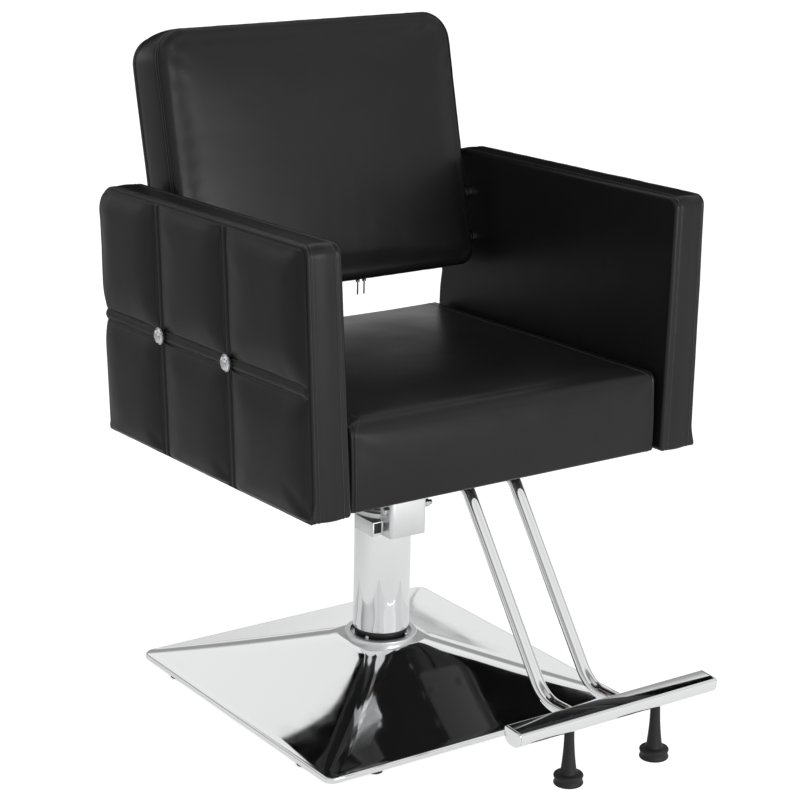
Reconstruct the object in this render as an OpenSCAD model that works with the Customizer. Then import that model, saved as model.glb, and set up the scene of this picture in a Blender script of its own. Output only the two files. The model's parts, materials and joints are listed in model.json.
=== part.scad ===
// Hairdressing chair on a square pressed base: a pump column that lifts and swivels, a tubular
// footrest on two rubber feet, a boxed seat between two quilted arms, and a back hung between them.
// Millimetres, +Z up, front of the chair towards -Y. The origin is on the column's axis at the floor.

/* [Base] */
// Side of the square base
base_side = 540; // [460:5:640]
// Radius of the base's corners in plan
base_corner_r = 16; // [8:1:40]
// Height of the upright rim of the base
base_rim_h = 10; // [6:1:18]
// Rise of the pressed shell from the rim to the column's landing
base_rise = 64; // [30:1:90]
// Thickness of the pressed sheet
base_sheet = 3; // [2:0.5:5]
// Diameter of a glide
glide_d = 24; // [16:1:34]
// Height of a glide under the rim
glide_h = 6; // [4:1:12]
// Distance of a glide from the middle of its side
glide_reach = 182; // [120:1:200]

/* [Column] */
// Outside diameter of the bright sleeve
sleeve_d = 86.6; // [76:0.2:100]
// Length of the sleeve
sleeve_len = 190; // [150:1:240]
// Wall of the sleeve
sleeve_wall = 2; // [1.5:0.5:4]
// Open gap between the sleeve and the collar ring
sleeve_gap = 9; // [4:1:16]
// How far the collar ring reaches past the sleeve
collar_reach = 12; // [8:0.5:20]
// Height of the collar ring
collar_h = 9; // [5:1:14]
// Diameter of the piston
piston_d = 35; // [28:1:40]
// Diameter of the spigot on the piston's top
spigot_d = 28; // [20:1:30]
// Height of the spigot
spigot_h = 37; // [25:1:50]
// Wall of the swivel socket
socket_wall = 12; // [6:1:16]
// Running clearance at a turning or sliding fit
fit = 0.05; // [0.02:0.01:0.1]
// Clearance between pieces that only meet
gap = 0.3; // [0.2:0.05:0.5]

/* [Pump head] */
// Width of the front block
block_w = 64; // [50:1:70]
// Distance of the block's face from the column's axis
block_face = 69; // [64:1:80]
// Height of the block
block_h = 58; // [44:1:60]
// How far the block hangs below the top of the sleeve
block_drop = 26; // [18:1:34]
// Height of the lug beside the block
lug_h = 22; // [18:1:30]
// Reach of the lug past the block
lug_reach = 16.5; // [14:0.5:22]
// Height of the cap over the sleeve
cap_h = 14; // [10:1:20]
// Height of the gland nut on the cap
gland_h = 10; // [6:1:12]
// Wall of the gland nut
gland_wall = 10; // [6:1:14]
// Diameter of the bolt across the block
cross_d = 8; // [6:1:10]

/* [Pedal] */
// Direction of the pedal from the rear of the chair, towards +X
pedal_bearing = 35; // [30:1:60]
// Distance of the pedal's pivot from the column's axis
pivot_reach = 62; // [58:1:70]
// Reach of the pad's middle from the column's axis
pad_reach = 232; // [200:1:250]
// Height of the pad's middle above the floor
pad_z = 132; // [120:1:160]
// Width of the pad
pad_w = 72; // [50:1:80]
// Length of the pad along the arm
pad_len = 52; // [40:1:60]
// Thickness of the pedal arm
arm_bar_t = 10; // [8:1:14]
// Width of the pedal arm
arm_bar_w = 20; // [14:1:24]
// Diameter of the pedal's pin
pedal_pin_d = 10; // [8:1:12]

/* [Seat] */
// Height of the seat's underside on the column's axis
seat_under_z = 408; // [400:1:440]
// Backward rake of the seat, arms, back and footrest
rake = 1.8; // [0:0.1:4]
// Width of the seat cushion
seat_w = 537; // [480:1:560]
// Distance of the seat's front face from the column's axis
seat_front = 308; // [280:1:320]
// Distance of the seat's rear face from the column's axis
seat_rear = 240; // [220:1:243]
// Height of the wrapped rails and the board under the cushion
rail_h = 18; // [12:1:24]
// Width of a rail
rail_w = 38; // [25:1:60]
// Thickness of the cushion from the rails to its top seam
seat_t = 105; // [80:1:130]
// Crown of the cushion above its top seam
seat_crown = 13; // [6:1:20]
// Radius of the cushion's edges
seat_edge_r = 10; // [6:1:16]
// Radius of the cushion's corners in plan
seat_corner_r = 12; // [10:1:24]
// How far the cushion's sides swell past its seams
seat_swell = 1.2; // [0:0.1:2]

/* [Seat bracket] */
// Side of the steel plate under the seat
plate_side = 190; // [150:2:220]
// Thickness of the plate
plate_t = 6; // [4:1:8]
// Diameter of the bolts
bolt_d = 8; // [6:1:10]

/* [Arms] */
// Distance of an arm's rear edge from the column's axis
arm_rear = 246; // [244:1:270]
// Distance of an arm's front face from the column's axis
arm_front = 319; // [300:1:335]
// Height of an arm
arm_h = 373; // [330:1:420]
// Thickness of an arm at its bottom
arm_t = 63; // [50:1:70]
// How far an arm's inner face leans out over its height
arm_lean = 14; // [4:1:20]
// How much an arm thins towards its top
arm_taper = 4.7; // [0:0.1:10]
// Radius of an arm's front top corner
arm_front_r = 22; // [14:1:40]
// Radius of an arm's rear top corner
arm_rear_r = 40; // [20:1:60]
// Radius of an arm's bottom corners
arm_low_r = 4.5; // [3:0.5:12]
// Radius along an arm's edges
arm_edge_r = 7; // [4:1:10]

/* [Quilting] */
// Thickness of the quilted panel at its edges
quilt_t = 5; // [3:0.5:7]
// Height of a puff above the quilted panel's edge
puff_h = 10; // [5:1:14]
// Width of a sewn band between puffs
band_w = 18; // [14:1:24]
// Distance of the rear upright band from the column's axis, towards the rear
band_rear = 70; // [40:1:90]
// Distance of the front upright band from the column's axis, towards the front
band_front = 115; // [90:1:150]
// Height of the level band above the seat's underside
band_z = 179; // [150:1:200]
// Diameter of a crystal button
button_d = 25; // [18:1:30]
// Height of a button's metal cup
cup_h = 4; // [3:0.5:6]
// Height of a button's crystal above its cup
crystal_h = 6; // [4:0.5:9]

/* [Back] */
// Clearance of the back from the seat's line on each side
back_clear = 10.5; // [8:0.5:20]
// Height of the back along its slope
back_h = 395; // [330:1:430]
// Thickness of the back at its seams
back_t = 98; // [76:1:104]
// Thickness of the wrapped board behind the back's cushion
back_board_t = 12; // [9:1:18]
// Lean of the back from the arms' upright
back_lean = 11.8; // [5:0.2:18]
// Height of the back's lower front edge above the seat's underside
back_z = 208; // [195:1:230]
// Distance of that edge from the column's axis
back_y = 118.7; // [105:0.1:135]
// Radius of the back's top corners
back_top_r = 45; // [25:1:60]
// Radius of the back's lower corners
back_low_r = 22; // [14:1:40]
// Crown of the back's face
back_crown = 12; // [6:1:20]
// Radius of the back's edges
back_edge_r = 6; // [4:0.5:12]
// How far the back's sides swell past its seams
back_swell = 3; // [0:0.5:5]
// Distance of the zipper pulls from the middle of the back
pull_x = 85; // [40:1:150]
// Distance between the two pulls
pull_pitch = 12; // [10:1:40]
// Length of a zipper pull
pull_len = 22; // [14:1:30]

/* [Footrest] */
// Diameter of the footrest's tubes
tube_d = 19; // [16:0.5:24]
// Wall of the tubes
tube_wall = 1.6; // [1.2:0.2:2.4]
// Distance of each tube from the middle
tube_x = 40.5; // [30:0.5:60]
// Radius of the tubes' upper bends
tube_top_r = 28; // [24:1:36]
// Radius of the tubes' lower bends
tube_low_r = 56; // [40:1:64]
// Distance of the upper bend's corner from the column's axis
tube_top_y = 263; // [255:1:280]
// Distance of the lower bend's corner from the column's axis
tube_low_y = 447; // [420:1:460]
// Depth of the footrest bar below the seat's underside, to its middle
bar_drop = 258.5; // [240:0.5:270]
// Distance of the bar's front from the column's axis
bar_front = 562; // [550:1:580]
// Depth of the bar, front to back
bar_t = 34; // [30:1:40]
// Height of the bar
bar_h = 23; // [19:1:27]
// Length of the bar
bar_len = 343; // [260:1:400]
// Distance of each rubber foot from the middle
foot_x = 75; // [60:1:120]
// Length of a rubber foot
foot_len = 78; // [60:1:90]
// Diameter of a rubber foot's sole
foot_d = 40.5; // [34:0.5:50]
// Thickness of the sole
foot_sole = 16; // [10:1:22]

/* [Hidden] */

// Overrun of every cut past the face that it leaves
over = 1;
// Sides of a round surface
fine = 72;
coarse = 32;

chrome = [0.83, 0.84, 0.85];
satin = [0.74, 0.75, 0.76];
steel = [0.55, 0.56, 0.58];
leather = [0.10, 0.10, 0.11];
black = [0.05, 0.05, 0.05];
rubber = [0.09, 0.09, 0.09];
wood = [0.76, 0.62, 0.42];
crystal = [0.80, 0.90, 0.95];

// The back fits between the arms
back_w = seat_w - 2 * back_clear;

// Heights up the column
rim_z = glide_h;
shell_z = glide_h + base_rim_h;
landing_z = shell_z + base_rise;
collar_d = sleeve_d + 2 * collar_reach;
sleeve_z = landing_z + collar_h + sleeve_gap;
sleeve_top = sleeve_z + sleeve_len;
cap_over = 11;
cap_wall = 0.6;
cap_d = sleeve_d + 2 * cap_wall;
cap_top = sleeve_top + cap_h - cap_over;
pump_space = 1.3;
pump_d = sleeve_d - 2 * (sleeve_wall + pump_space);
pump_top = sleeve_top;
pump_floor = 40;
stroke_down = 55;
stroke_up = 75;
socket_roof = 3;

// The seat unit turns about the middle of its rake
rake_z = 380;
module raked() translate([0, 0, rake_z]) rotate([-rake, 0, 0]) translate([0, 0, -rake_z]) children();
// A length drawn from the rear of the chair towards the pedal
module bearing() rotate([0, 0, -pedal_bearing]) children();

// A square with rounded corners, drawn round the origin
module round_square(side, r) {
    for (a = [0, 90]) rotate([0, 0, a]) square([side, side - 2 * r], center = true);
    for (x = [-1, 1], y = [-1, 1])
        translate([x * (side / 2 - r), y * (side / 2 - r)]) circle(r = r, $fn = fine);
}

// A rectangle with rounded corners from its lower left corner
module round_rect(w, h, r) {
    translate([r, 0]) square([w - 2 * r, h]);
    translate([0, r]) square([w, h - 2 * r]);
    for (x = [r, w - r], y = [r, h - r]) translate([x, y]) circle(r = r, $fn = coarse);
}

// What a rounding takes off a corner at the origin
module corner_cut(r) {
    difference() {
        translate([-over, -over]) square([r + over, r + over]);
        translate([r, r]) circle(r = r, $fn = fine);
    }
}

// The base's shell: an upright rim, then four flat sides rising to the column's landing
landing_side = collar_d + 2 * base_sheet;
shell_skin = 0.2;
module shell_form(inset, drop) {
    side = base_side - 2 * inset;
    top = landing_side - 2 * inset;
    r = base_corner_r - inset;
    translate([0, 0, rim_z - drop])
        linear_extrude(height = base_rim_h + drop - inset) round_square(side, r);
    hull() {
        translate([0, 0, shell_z - 2 * inset]) linear_extrude(height = inset + shell_skin)
            round_square(side, r);
        translate([0, 0, landing_z - inset - shell_skin]) linear_extrude(height = shell_skin)
            round_square(top, r);
    }
}
module base_plate() {
    color(chrome) difference() {
        shell_form(0, 0);
        shell_form(base_sheet, over);
        translate([0, 0, landing_z - base_sheet - over])
            cylinder(h = base_sheet + 2 * over, d = pump_d + 2 * gap, $fn = fine);
    }
}

// Eight glides, two under each side
glide_edge = base_side / 2 - base_sheet - glide_d / 2;
module base_glides() {
    color(rubber) for (a = [0, 90, 180, 270], s = [-1, 1])
        rotate([0, 0, a]) translate([s * glide_reach, glide_edge, 0]) {
            cylinder(h = glide_h, d1 = glide_d - glide_h / 3, d2 = glide_d, $fn = coarse);
            cylinder(h = glide_h + base_rim_h - base_sheet, d = glide_d / 2, $fn = coarse);
        }
}

// A cross of folded channel under the shell, which the pump stands on
stiff_w = 46;
stiff_h = 8;
stiff_z = rim_z + base_rim_h - base_sheet - stiff_h;
stiff_len = base_side - 2 * base_sheet - 2 * gap;
module base_stiffener() {
    color(steel) difference() {
        union() {
            for (a = [0, 90]) rotate([0, 0, a])
                translate([-stiff_len / 2, -stiff_w / 2, stiff_z]) cube([stiff_len, stiff_w, stiff_h]);
            translate([0, 0, stiff_z]) cylinder(h = stiff_h, d = pump_d + stiff_w, $fn = fine);
        }
        for (a = [0 : 90 : 270]) rotate([0, 0, a])
            translate([pump_d / 2 + stiff_w / 2, -stiff_w / 2 + base_sheet, stiff_z - over])
                cube([stiff_len / 2, stiff_w - 2 * base_sheet, stiff_h - base_sheet + over]);
    }
}

// The pump's cylinder stands on the cross and is open for the piston
pump_z = stiff_z + stiff_h;
socket_z = seat_under_z - plate_t - spigot_h - socket_roof;
spigot_shoulder = socket_z - gap;
piston_foot = pump_z + pump_floor + stroke_down + gap;
piston_len = spigot_shoulder - piston_foot;
module pump_body() {
    color(black) difference() {
        translate([0, 0, pump_z]) cylinder(h = pump_top - pump_z, d = pump_d, $fn = fine);
        translate([0, 0, pump_z + pump_floor])
            cylinder(h = pump_top - pump_z - pump_floor + over, d = piston_d + 2 * fit, $fn = fine);
    }
}

// Four socket screws stand in the recess of the collar ring
screw_d = 6;
recess_d = pump_d + 2 * screw_d + 4 * gap;
recess_t = 3;
screw_turn = 27;
module pump_bolts() {
    color(satin) for (a = [0 : 90 : 270]) rotate([0, 0, a + screw_turn])
        translate([pump_d / 2 + screw_d / 2 + gap, 0, landing_z + recess_t]) difference() {
            cylinder(h = collar_h, d = screw_d, $fn = coarse);
            translate([0, 0, collar_h - screw_d / 2])
                cylinder(h = screw_d / 2 + over, d = screw_d / 2, $fn = 6);
        }
}
module collar_ring() {
    rim = collar_h / 4;
    hole_r = pump_d / 2 + gap;
    color(chrome) translate([0, 0, landing_z]) rotate_extrude($fn = fine) {
        polygon([[hole_r, 0], [collar_d / 2, 0], [collar_d / 2, collar_h - rim],
            [collar_d / 2 - rim, collar_h], [recess_d / 2, collar_h], [recess_d / 2, recess_t],
            [hole_r, recess_t]]);
        translate([collar_d / 2 - rim, collar_h - rim]) circle(r = rim, $fn = coarse);
    }
}

module pump_sleeve() {
    color(chrome) difference() {
        translate([0, 0, sleeve_z]) cylinder(h = sleeve_len - gap, d = sleeve_d, $fn = fine);
        translate([0, 0, sleeve_z - over])
            cylinder(h = sleeve_len + 2 * over, d = sleeve_d - 2 * sleeve_wall, $fn = fine);
    }
}

// The head: a cap over the sleeve, the front block, a lug beside it, and the pedal's ears
gland_d = piston_d + 2 * gland_wall;
block_z = sleeve_top - block_drop;
block_r = 6;
block_back = 34;
lug_y = 24;
lug_len = 50;
pocket_rim = 1.6;
pocket_lip = 4.5;
pocket_deep = 7;
pocket_w = lug_reach - 2 * pocket_rim;
pocket_h = lug_h - pocket_lip - pocket_rim;
cross_y = 15;
cross_down = 17;
cross_z = block_z + block_h - cross_down;
ear_r = 11;
ear_t = 7;
pivot_z = cap_top - ear_r;
ear_gap = arm_bar_w + 2 * gap;
module at_pocket() {
    translate([-block_w / 2 - lug_reach + pocket_rim, -block_face + lug_y, block_z + pocket_lip]) children();
}
// A round piece along X through the block's upper part
module across(from, run, d, n) {
    translate([from, -block_face + cross_y, cross_z]) rotate([0, 90, 0]) cylinder(h = run, d = d, $fn = n);
}
// A round piece along the pedal's axis, centred on the arm
module on_pivot(run, d) {
    bearing() translate([-run / 2, pivot_reach, pivot_z]) rotate([0, 90, 0])
        cylinder(h = run, d = d, $fn = coarse);
}
module ear(s) {
    bearing() translate([s * (ear_gap + ear_t) / 2 - ear_t / 2, 0, pivot_z - ear_r]) {
        translate([0, sleeve_d / 4, 0]) cube([ear_t, pivot_reach - sleeve_d / 4, 2 * ear_r]);
        translate([0, pivot_reach, ear_r]) rotate([0, 90, 0]) cylinder(h = ear_t, r = ear_r, $fn = coarse);
    }
}
module pump_head() {
    color(satin) difference() {
        union() {
            translate([0, 0, sleeve_top - cap_over]) cylinder(h = cap_h, d = cap_d, $fn = fine);
            translate([-block_w / 2, -block_face, block_z]) linear_extrude(height = block_h)
                round_rect(block_w, block_back, block_r);
            translate([-block_w / 2, -block_face + block_r, block_z])
                cube([block_w, lug_y + lug_len - block_r, lug_h]);
            translate([-block_w / 2 - lug_reach, -block_face + lug_y, block_z])
                cube([block_w / 2 + lug_reach, lug_len, lug_h]);
            ear(-1);
            ear(1);
        }
        translate([0, 0, block_z - over])
            cylinder(h = sleeve_top - block_z + over, d = sleeve_d + 2 * fit, $fn = fine);
        translate([0, 0, sleeve_top - over])
            cylinder(h = block_h, d = piston_d + 2 * gap, $fn = fine);
        translate([0, 0, cap_top])
            cylinder(h = block_h, d = gland_d + 2 * gap, $fn = fine);
        at_pocket() translate([0, -over, 0]) cube([pocket_w, pocket_deep + over, pocket_h]);
        across(-block_w, 2 * block_w, cross_d + 2 * fit, coarse);
        bearing() translate([-ear_gap / 2, cap_d / 2, pivot_z - ear_r - over])
            cube([ear_gap, 2 * pivot_reach, 2 * ear_r + 2 * over]);
        on_pivot(2 * ear_gap, pedal_pin_d + 2 * fit);
    }
}
// The black insert in the lug's front pocket
module head_plug() {
    color(black) at_pocket() translate([0, pocket_rim, 0])
        cube([pocket_w, pocket_deep - pocket_rim, pocket_h]);
}
// A bolt across the block, with its head on the lug's side and two nuts on the other
cross_head = 6;
cross_end = 6;
cross_across = 13;
module cross_bolt() {
    half = block_w / 2;
    color(steel) {
        across(-half - cross_head, block_w + 3 * cross_head + cross_end, cross_d, coarse);
        across(-half - cross_head, cross_head, cross_across, 6);
        for (k = [0, 1]) across(half + k * (cross_head + gap), cross_head, cross_across, 6);
    }
}
module gland_nut() {
    color(steel) difference() {
        translate([0, 0, cap_top]) cylinder(h = gland_h, d = gland_d, $fn = fine);
        translate([0, 0, cap_top - over])
            cylinder(h = gland_h + 2 * over, d = piston_d + 2 * fit, $fn = fine);
        for (a = [0 : 60 : 300]) rotate([0, 0, a])
            translate([gland_d / 2, 0, cap_top + gland_h / 2])
                cylinder(h = gland_h, d = gland_h / 2, $fn = coarse);
    }
}

// The pedal's arm drops from its pin behind the sleeve, then runs out to the pad
knee_out = 32;
knee_down = 62;
boss_d = 20;
arm_path = [[pivot_reach, pivot_z], [pivot_reach + knee_out, pivot_z - knee_down],
    [pad_reach - pad_len / 2 - arm_bar_t, pad_z], [pad_reach + pad_len / 4, pad_z]];
// Outline of a flat bar bent along a path, with mitred knees
function unit(v) = v / norm(v);
function square_to(v) = [-v.y, v.x];
function mitre(path, i) = let (last = len(path) - 1, into = path[max(i, 1)] - path[max(i, 1) - 1],
    out = path[min(i + 1, last)] - path[min(i, last - 1)],
    n = unit(square_to(unit(into)) + square_to(unit(out)))) n / (n * square_to(unit(into)));
function bar_outline(path, t) = concat([for (i = [0 : len(path) - 1]) path[i] + mitre(path, i) * t / 2],
    [for (i = [len(path) - 1 : -1 : 0]) path[i] - mitre(path, i) * t / 2]);
module pedal_arm() {
    color(chrome) difference() {
        union() {
            on_pivot(arm_bar_w, boss_d);
            bearing() translate([-arm_bar_w / 2, 0, 0]) rotate([90, 0, 90])
                linear_extrude(height = arm_bar_w) polygon(bar_outline(arm_path, arm_bar_t));
        }
        on_pivot(2 * arm_bar_w, pedal_pin_d + 2 * fit);
    }
}
pad_under = 3;
pad_over = 9;
pad_rib = 2;
pad_corner_r = 9;
pad_ribs = 5;
module pedal_pad() {
    sole = pad_z - arm_bar_t / 2 - pad_under;
    top = arm_bar_t + pad_under + pad_over;
    color(rubber) bearing() translate([-pad_w / 2, pad_reach - pad_len / 2, sole]) difference() {
        linear_extrude(height = top) round_rect(pad_w, pad_len, pad_corner_r);
        translate([pad_w / 2 - arm_bar_w / 2, -over, pad_under])
            cube([arm_bar_w, 3 * pad_len / 4 + over, arm_bar_t]);
        for (i = [1 : pad_ribs]) translate([-over, i * pad_len / (pad_ribs + 1) - pad_rib / 2, top - pad_rib])
            cube([pad_w + 2 * over, pad_rib, pad_rib + over]);
    }
}
pin_head = 2;
module pedal_pin() {
    len = ear_gap + 2 * ear_t;
    color(steel) {
        on_pivot(len + 2 * pin_head, pedal_pin_d);
        bearing() for (x = [-len / 2 - pin_head, len / 2])
            translate([x, pivot_reach, pivot_z]) rotate([0, 90, 0])
                cylinder(h = pin_head, d = pedal_pin_d + 2 * pin_head, $fn = coarse);
    }
}

// The piston rises from the pump and ends in the spigot that the seat turns on
module piston() {
    color(chrome) {
        translate([0, 0, piston_foot]) cylinder(h = piston_len, d = piston_d, $fn = fine);
        translate([0, 0, spigot_shoulder - over]) cylinder(h = spigot_h + over, d = spigot_d, $fn = fine);
    }
}

// The seat's bracket: a raked plate with an upright socket and four gussets
plate_z = seat_under_z - plate_t;
bolt_edge = 22;
bolt_place = plate_side / 2 - bolt_edge;
socket_d = spigot_d + 2 * socket_wall;
gusset_drop = 14;
gusset_t = 6;
gusset_len = 60;
module gusset() {
    rotate([90, 0, 0]) linear_extrude(height = gusset_t) polygon([
        [0, 0], [gusset_len, 0], [gusset_len, -plate_t], [socket_wall, -plate_t - gusset_drop],
        [0, -plate_t - gusset_drop]]);
}
module seat_bracket() {
    color(steel) difference() {
        union() {
            raked() translate([0, 0, plate_z]) linear_extrude(height = plate_t)
                round_square(plate_side, bolt_d);
            translate([0, 0, socket_z])
                cylinder(h = plate_z - socket_z + plate_t / 3, d = socket_d, $fn = fine);
            for (a = [0 : 90 : 270]) rotate([0, 0, a + 45])
                translate([socket_d / 4, gusset_t / 2, plate_z + plate_t / 3]) gusset();
        }
        translate([0, 0, socket_z - over])
            cylinder(h = spigot_h + over, d = spigot_d + 2 * fit, $fn = fine);
        raked() for (x = [-1, 1], y = [-1, 1])
            translate([x * bolt_place, y * bolt_place, plate_z - over])
                cylinder(h = plate_t + 2 * over, d = bolt_d + 2 * gap, $fn = coarse);
    }
}
// A hexagon head bolt whose shank points up from the seating face
head_h = 5.3;
washer_t = 1.5;
head_across_share = 1.8;
module hex_bolt(shank) {
    translate([0, 0, -washer_t]) cylinder(h = washer_t, d = 2 * bolt_d, $fn = coarse);
    translate([0, 0, -washer_t - head_h]) cylinder(h = head_h, d = bolt_d * head_across_share, $fn = 6);
    translate([0, 0, -washer_t]) cylinder(h = washer_t + shank, d = bolt_d, $fn = coarse);
}
module bracket_bolts() {
    color(steel) raked() for (x = [-1, 1], y = [-1, 1])
        translate([x * bolt_place, y * bolt_place, plate_z]) hex_bolt(plate_t + rail_h - over);
}

// The footrest's tubes run forward under the seat, down to the front, and forward under the bar
strap_t = 4;
strap_y = 222;
strap_len = 76;
strap_wing = 43;
strap_w = 2 * (tube_x + strap_wing);
bar_z = seat_under_z - bar_drop;
bar_y = bar_front - bar_t / 2;
tube_z = seat_under_z - tube_d / 2 - fit;
tube_low_z = bar_z - bar_h / 2 - fit;
tube_tuck = 9;
tube_path = [[-strap_y + strap_len, tube_z], [-tube_top_y, tube_z], [-tube_low_y, tube_low_z],
    [-bar_front + bar_t - tube_tuck, tube_low_z]];
bend_rs = [0, tube_top_r, tube_low_r, 0];
function heading(i) = atan2(tube_path[i + 1].y - tube_path[i].y, tube_path[i + 1].x - tube_path[i].x);
function turned(i) = let (t = heading(i) - heading(i - 1)) t > 180 ? t - 360 : t < -180 ? t + 360 : t;
function bend_len(i) = bend_rs[i] == 0 ? 0 : bend_rs[i] * tan(abs(turned(i)) / 2);
function along(i) = [cos(heading(i)), sin(heading(i))];
// A bend is a hair thicker than the straights, whose ends lap into it
bend_grow = 0.3;
lap = 0.5;
module bent_rod(d, past) {
    rotate([90, 0, 90]) {
        for (i = [0 : 2]) {
            a = tube_path[i] + along(i) * (bend_len(i) - (i == 0 ? past : lap));
            b = tube_path[i + 1] - along(i) * (bend_len(i + 1) - (i == 2 ? past : lap));
            translate([a.x, a.y, 0]) rotate([0, 0, heading(i)]) rotate([0, 90, 0])
                cylinder(h = norm(b - a), d = d, $fn = coarse);
        }
        for (i = [1, 2]) {
            side = sign(turned(i));
            normal = heading(i - 1) + 90 * side;
            centre = tube_path[i] - along(i - 1) * bend_len(i)
                + [cos(normal), sin(normal)] * bend_rs[i];
            first = normal + 180 - (side < 0 ? abs(turned(i)) : 0);
            translate([centre.x, centre.y, 0]) rotate([0, 0, first])
                rotate_extrude(angle = abs(turned(i)), $fn = fine) translate([bend_rs[i], 0])
                    circle(d = d + bend_grow, $fn = coarse);
        }
    }
}
module footrest_tube(s) {
    color(chrome) raked() difference() {
        translate([s * tube_x, 0, 0]) bent_rod(tube_d, 0);
        translate([s * tube_x, 0, 0]) bent_rod(tube_d - 2 * tube_wall, over);
        bar_stretch(-bar_len / 2, bar_len) bar_profile(0);
    }
}
module footrest_tube_left() footrest_tube(-1);
module footrest_tube_right() footrest_tube(1);

// A pressed strap clamps the tubes up against the front of the seat's board
module saddle(d) {
    for (s = [-1, 1]) translate([s * tube_x, tube_z - seat_under_z]) {
        circle(d = d, $fn = fine);
        translate([-d / 2, 0]) square([d, tube_d]);
    }
}
module strap_profile() {
    difference() {
        union() {
            translate([-strap_w / 2, -strap_t]) square([strap_w, strap_t]);
            saddle(tube_d + 2 * strap_t);
        }
        saddle(tube_d + 2 * fit);
        translate([-strap_w, 0]) square([2 * strap_w, tube_d]);
    }
}
module at_strap_bolts() {
    for (x = [-1, 1], y = [0, 1])
        translate([x * (strap_w / 2 - 2 * bolt_d), -strap_y + 2 * bolt_d + y * (strap_len - 4 * bolt_d),
            seat_under_z]) children();
}
module footrest_bracket() {
    color(steel) raked() difference() {
        translate([0, -strap_y + strap_len, seat_under_z]) rotate([90, 0, 0])
            linear_extrude(height = strap_len) strap_profile();
        at_strap_bolts() translate([0, 0, -strap_t - over])
            cylinder(h = strap_t + 2 * over, d = bolt_d + 2 * gap, $fn = coarse);
    }
}
module footrest_screws() {
    color(steel) raked() {
        at_strap_bolts() translate([0, 0, -strap_t]) hex_bolt(strap_t + rail_h - over);
        for (s = [-1, 1]) translate([s * foot_x, -bar_y, bar_z - bar_h / 2 - foot_len / 2])
            cylinder(h = foot_len / 2 + bar_h / 2, d = bolt_d, $fn = coarse);
    }
}

// The bar is a flat-topped tube with a rounded underside, closed by a cap at each end
bar_wall = 2;
bar_r = 3.5;
bar_low_r = 13;
module bar_profile(inset) {
    w = bar_t - 2 * inset;
    h = bar_h - 2 * inset;
    translate([0, -h / 2]) difference() {
        translate([-w / 2, 0]) square([w, h]);
        for (s = [0, 1]) mirror([s, 0]) translate([-w / 2, 0]) {
            corner_cut(bar_low_r - inset);
            translate([0, h]) mirror([0, 1]) corner_cut(bar_r - inset);
        }
    }
}
cap_plate = 3;
module bar_stretch(from, run) {
    translate([from, -bar_y, bar_z]) rotate([90, 0, 90]) linear_extrude(height = run) children();
}
module footrest_bar() {
    body = bar_len - 2 * cap_plate;
    color(chrome) raked() difference() {
        bar_stretch(-body / 2, body) bar_profile(0);
        bar_stretch(-body / 2 - over, body + 2 * over) bar_profile(bar_wall);
        for (s = [-1, 1]) translate([s * foot_x, -bar_y, bar_z - bar_h])
            cylinder(h = bar_h, d = bolt_d, $fn = coarse);
    }
}
module footrest_caps() {
    color(chrome) raked() for (s = [-1, 1]) {
        bar_stretch(s > 0 ? bar_len / 2 - cap_plate : -bar_len / 2, cap_plate) bar_profile(0);
        bar_stretch(s > 0 ? bar_len / 2 - 3 * cap_plate : -bar_len / 2 + cap_plate, 2 * cap_plate)
            bar_profile(bar_wall);
    }
}
// A rubber foot: a neck that flares down to a thick round sole
neck_d = 13.5;
neck_low_d = 22;
sole_r = 3;
flare_shares = [0, 0.2, 0.4, 0.7, 1];
module footrest_foot(s) {
    flare = foot_len - foot_sole - sole_r;
    neck = [for (k = flare_shares)
        [neck_d / 2 + (neck_low_d - neck_d) / 2 * pow(1 - k, 2), foot_sole + sole_r + flare * k]];
    color(rubber) raked() translate([s * foot_x, -bar_y, bar_z - bar_h / 2 - foot_len]) difference() {
        rotate_extrude($fn = fine) {
            polygon(concat([[0, 0], [foot_d / 2 - sole_r, 0], [foot_d / 2 - sole_r, foot_sole],
                [neck_low_d / 2 + sole_r, foot_sole]], neck, [[0, foot_len]]));
            translate([foot_d / 4, sole_r]) square([foot_d / 4, foot_sole - 2 * sole_r]);
            for (z = [sole_r, foot_sole - sole_r])
                translate([foot_d / 2 - sole_r, z]) circle(r = sole_r, $fn = coarse);
        }
        translate([0, 0, foot_len / 2]) cylinder(h = foot_len / 2 + over, d = bolt_d, $fn = coarse);
    }
}
module footrest_foot_left() footrest_foot(-1);
module footrest_foot_right() footrest_foot(1);

// Under the cushion a plywood board lies in a ring of four wrapped rails
rail_r = 4;
seat_y = -seat_front;
seat_len = seat_front + seat_rear;
// A rail across the seat, with the cushion's corners and a rounded lower edge
module cross_rail() {
    difference() {
        linear_extrude(height = rail_h) difference() {
            translate([-seat_w / 2, 0]) square([seat_w, rail_w]);
            for (s = [0, 1]) mirror([s, 0]) translate([-seat_w / 2, 0]) corner_cut(seat_corner_r);
        }
        translate([-seat_w / 2 - over, 0, 0]) rotate([90, 0, 90])
            linear_extrude(height = seat_w + 2 * over) corner_cut(rail_r);
    }
}
module side_rail(s) {
    color(leather) raked()
        translate([s * (seat_w - rail_w) / 2 - rail_w / 2, seat_y + rail_w, seat_under_z])
            cube([rail_w, seat_len - 2 * rail_w, rail_h]);
}
module seat_rail_front() {
    color(leather) raked() translate([0, seat_y, seat_under_z]) cross_rail();
}
module seat_rail_rear() {
    color(leather) raked() translate([0, seat_rear, seat_under_z]) mirror([0, 1, 0]) cross_rail();
}
module seat_rail_left() side_rail(-1);
module seat_rail_right() side_rail(1);
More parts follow.
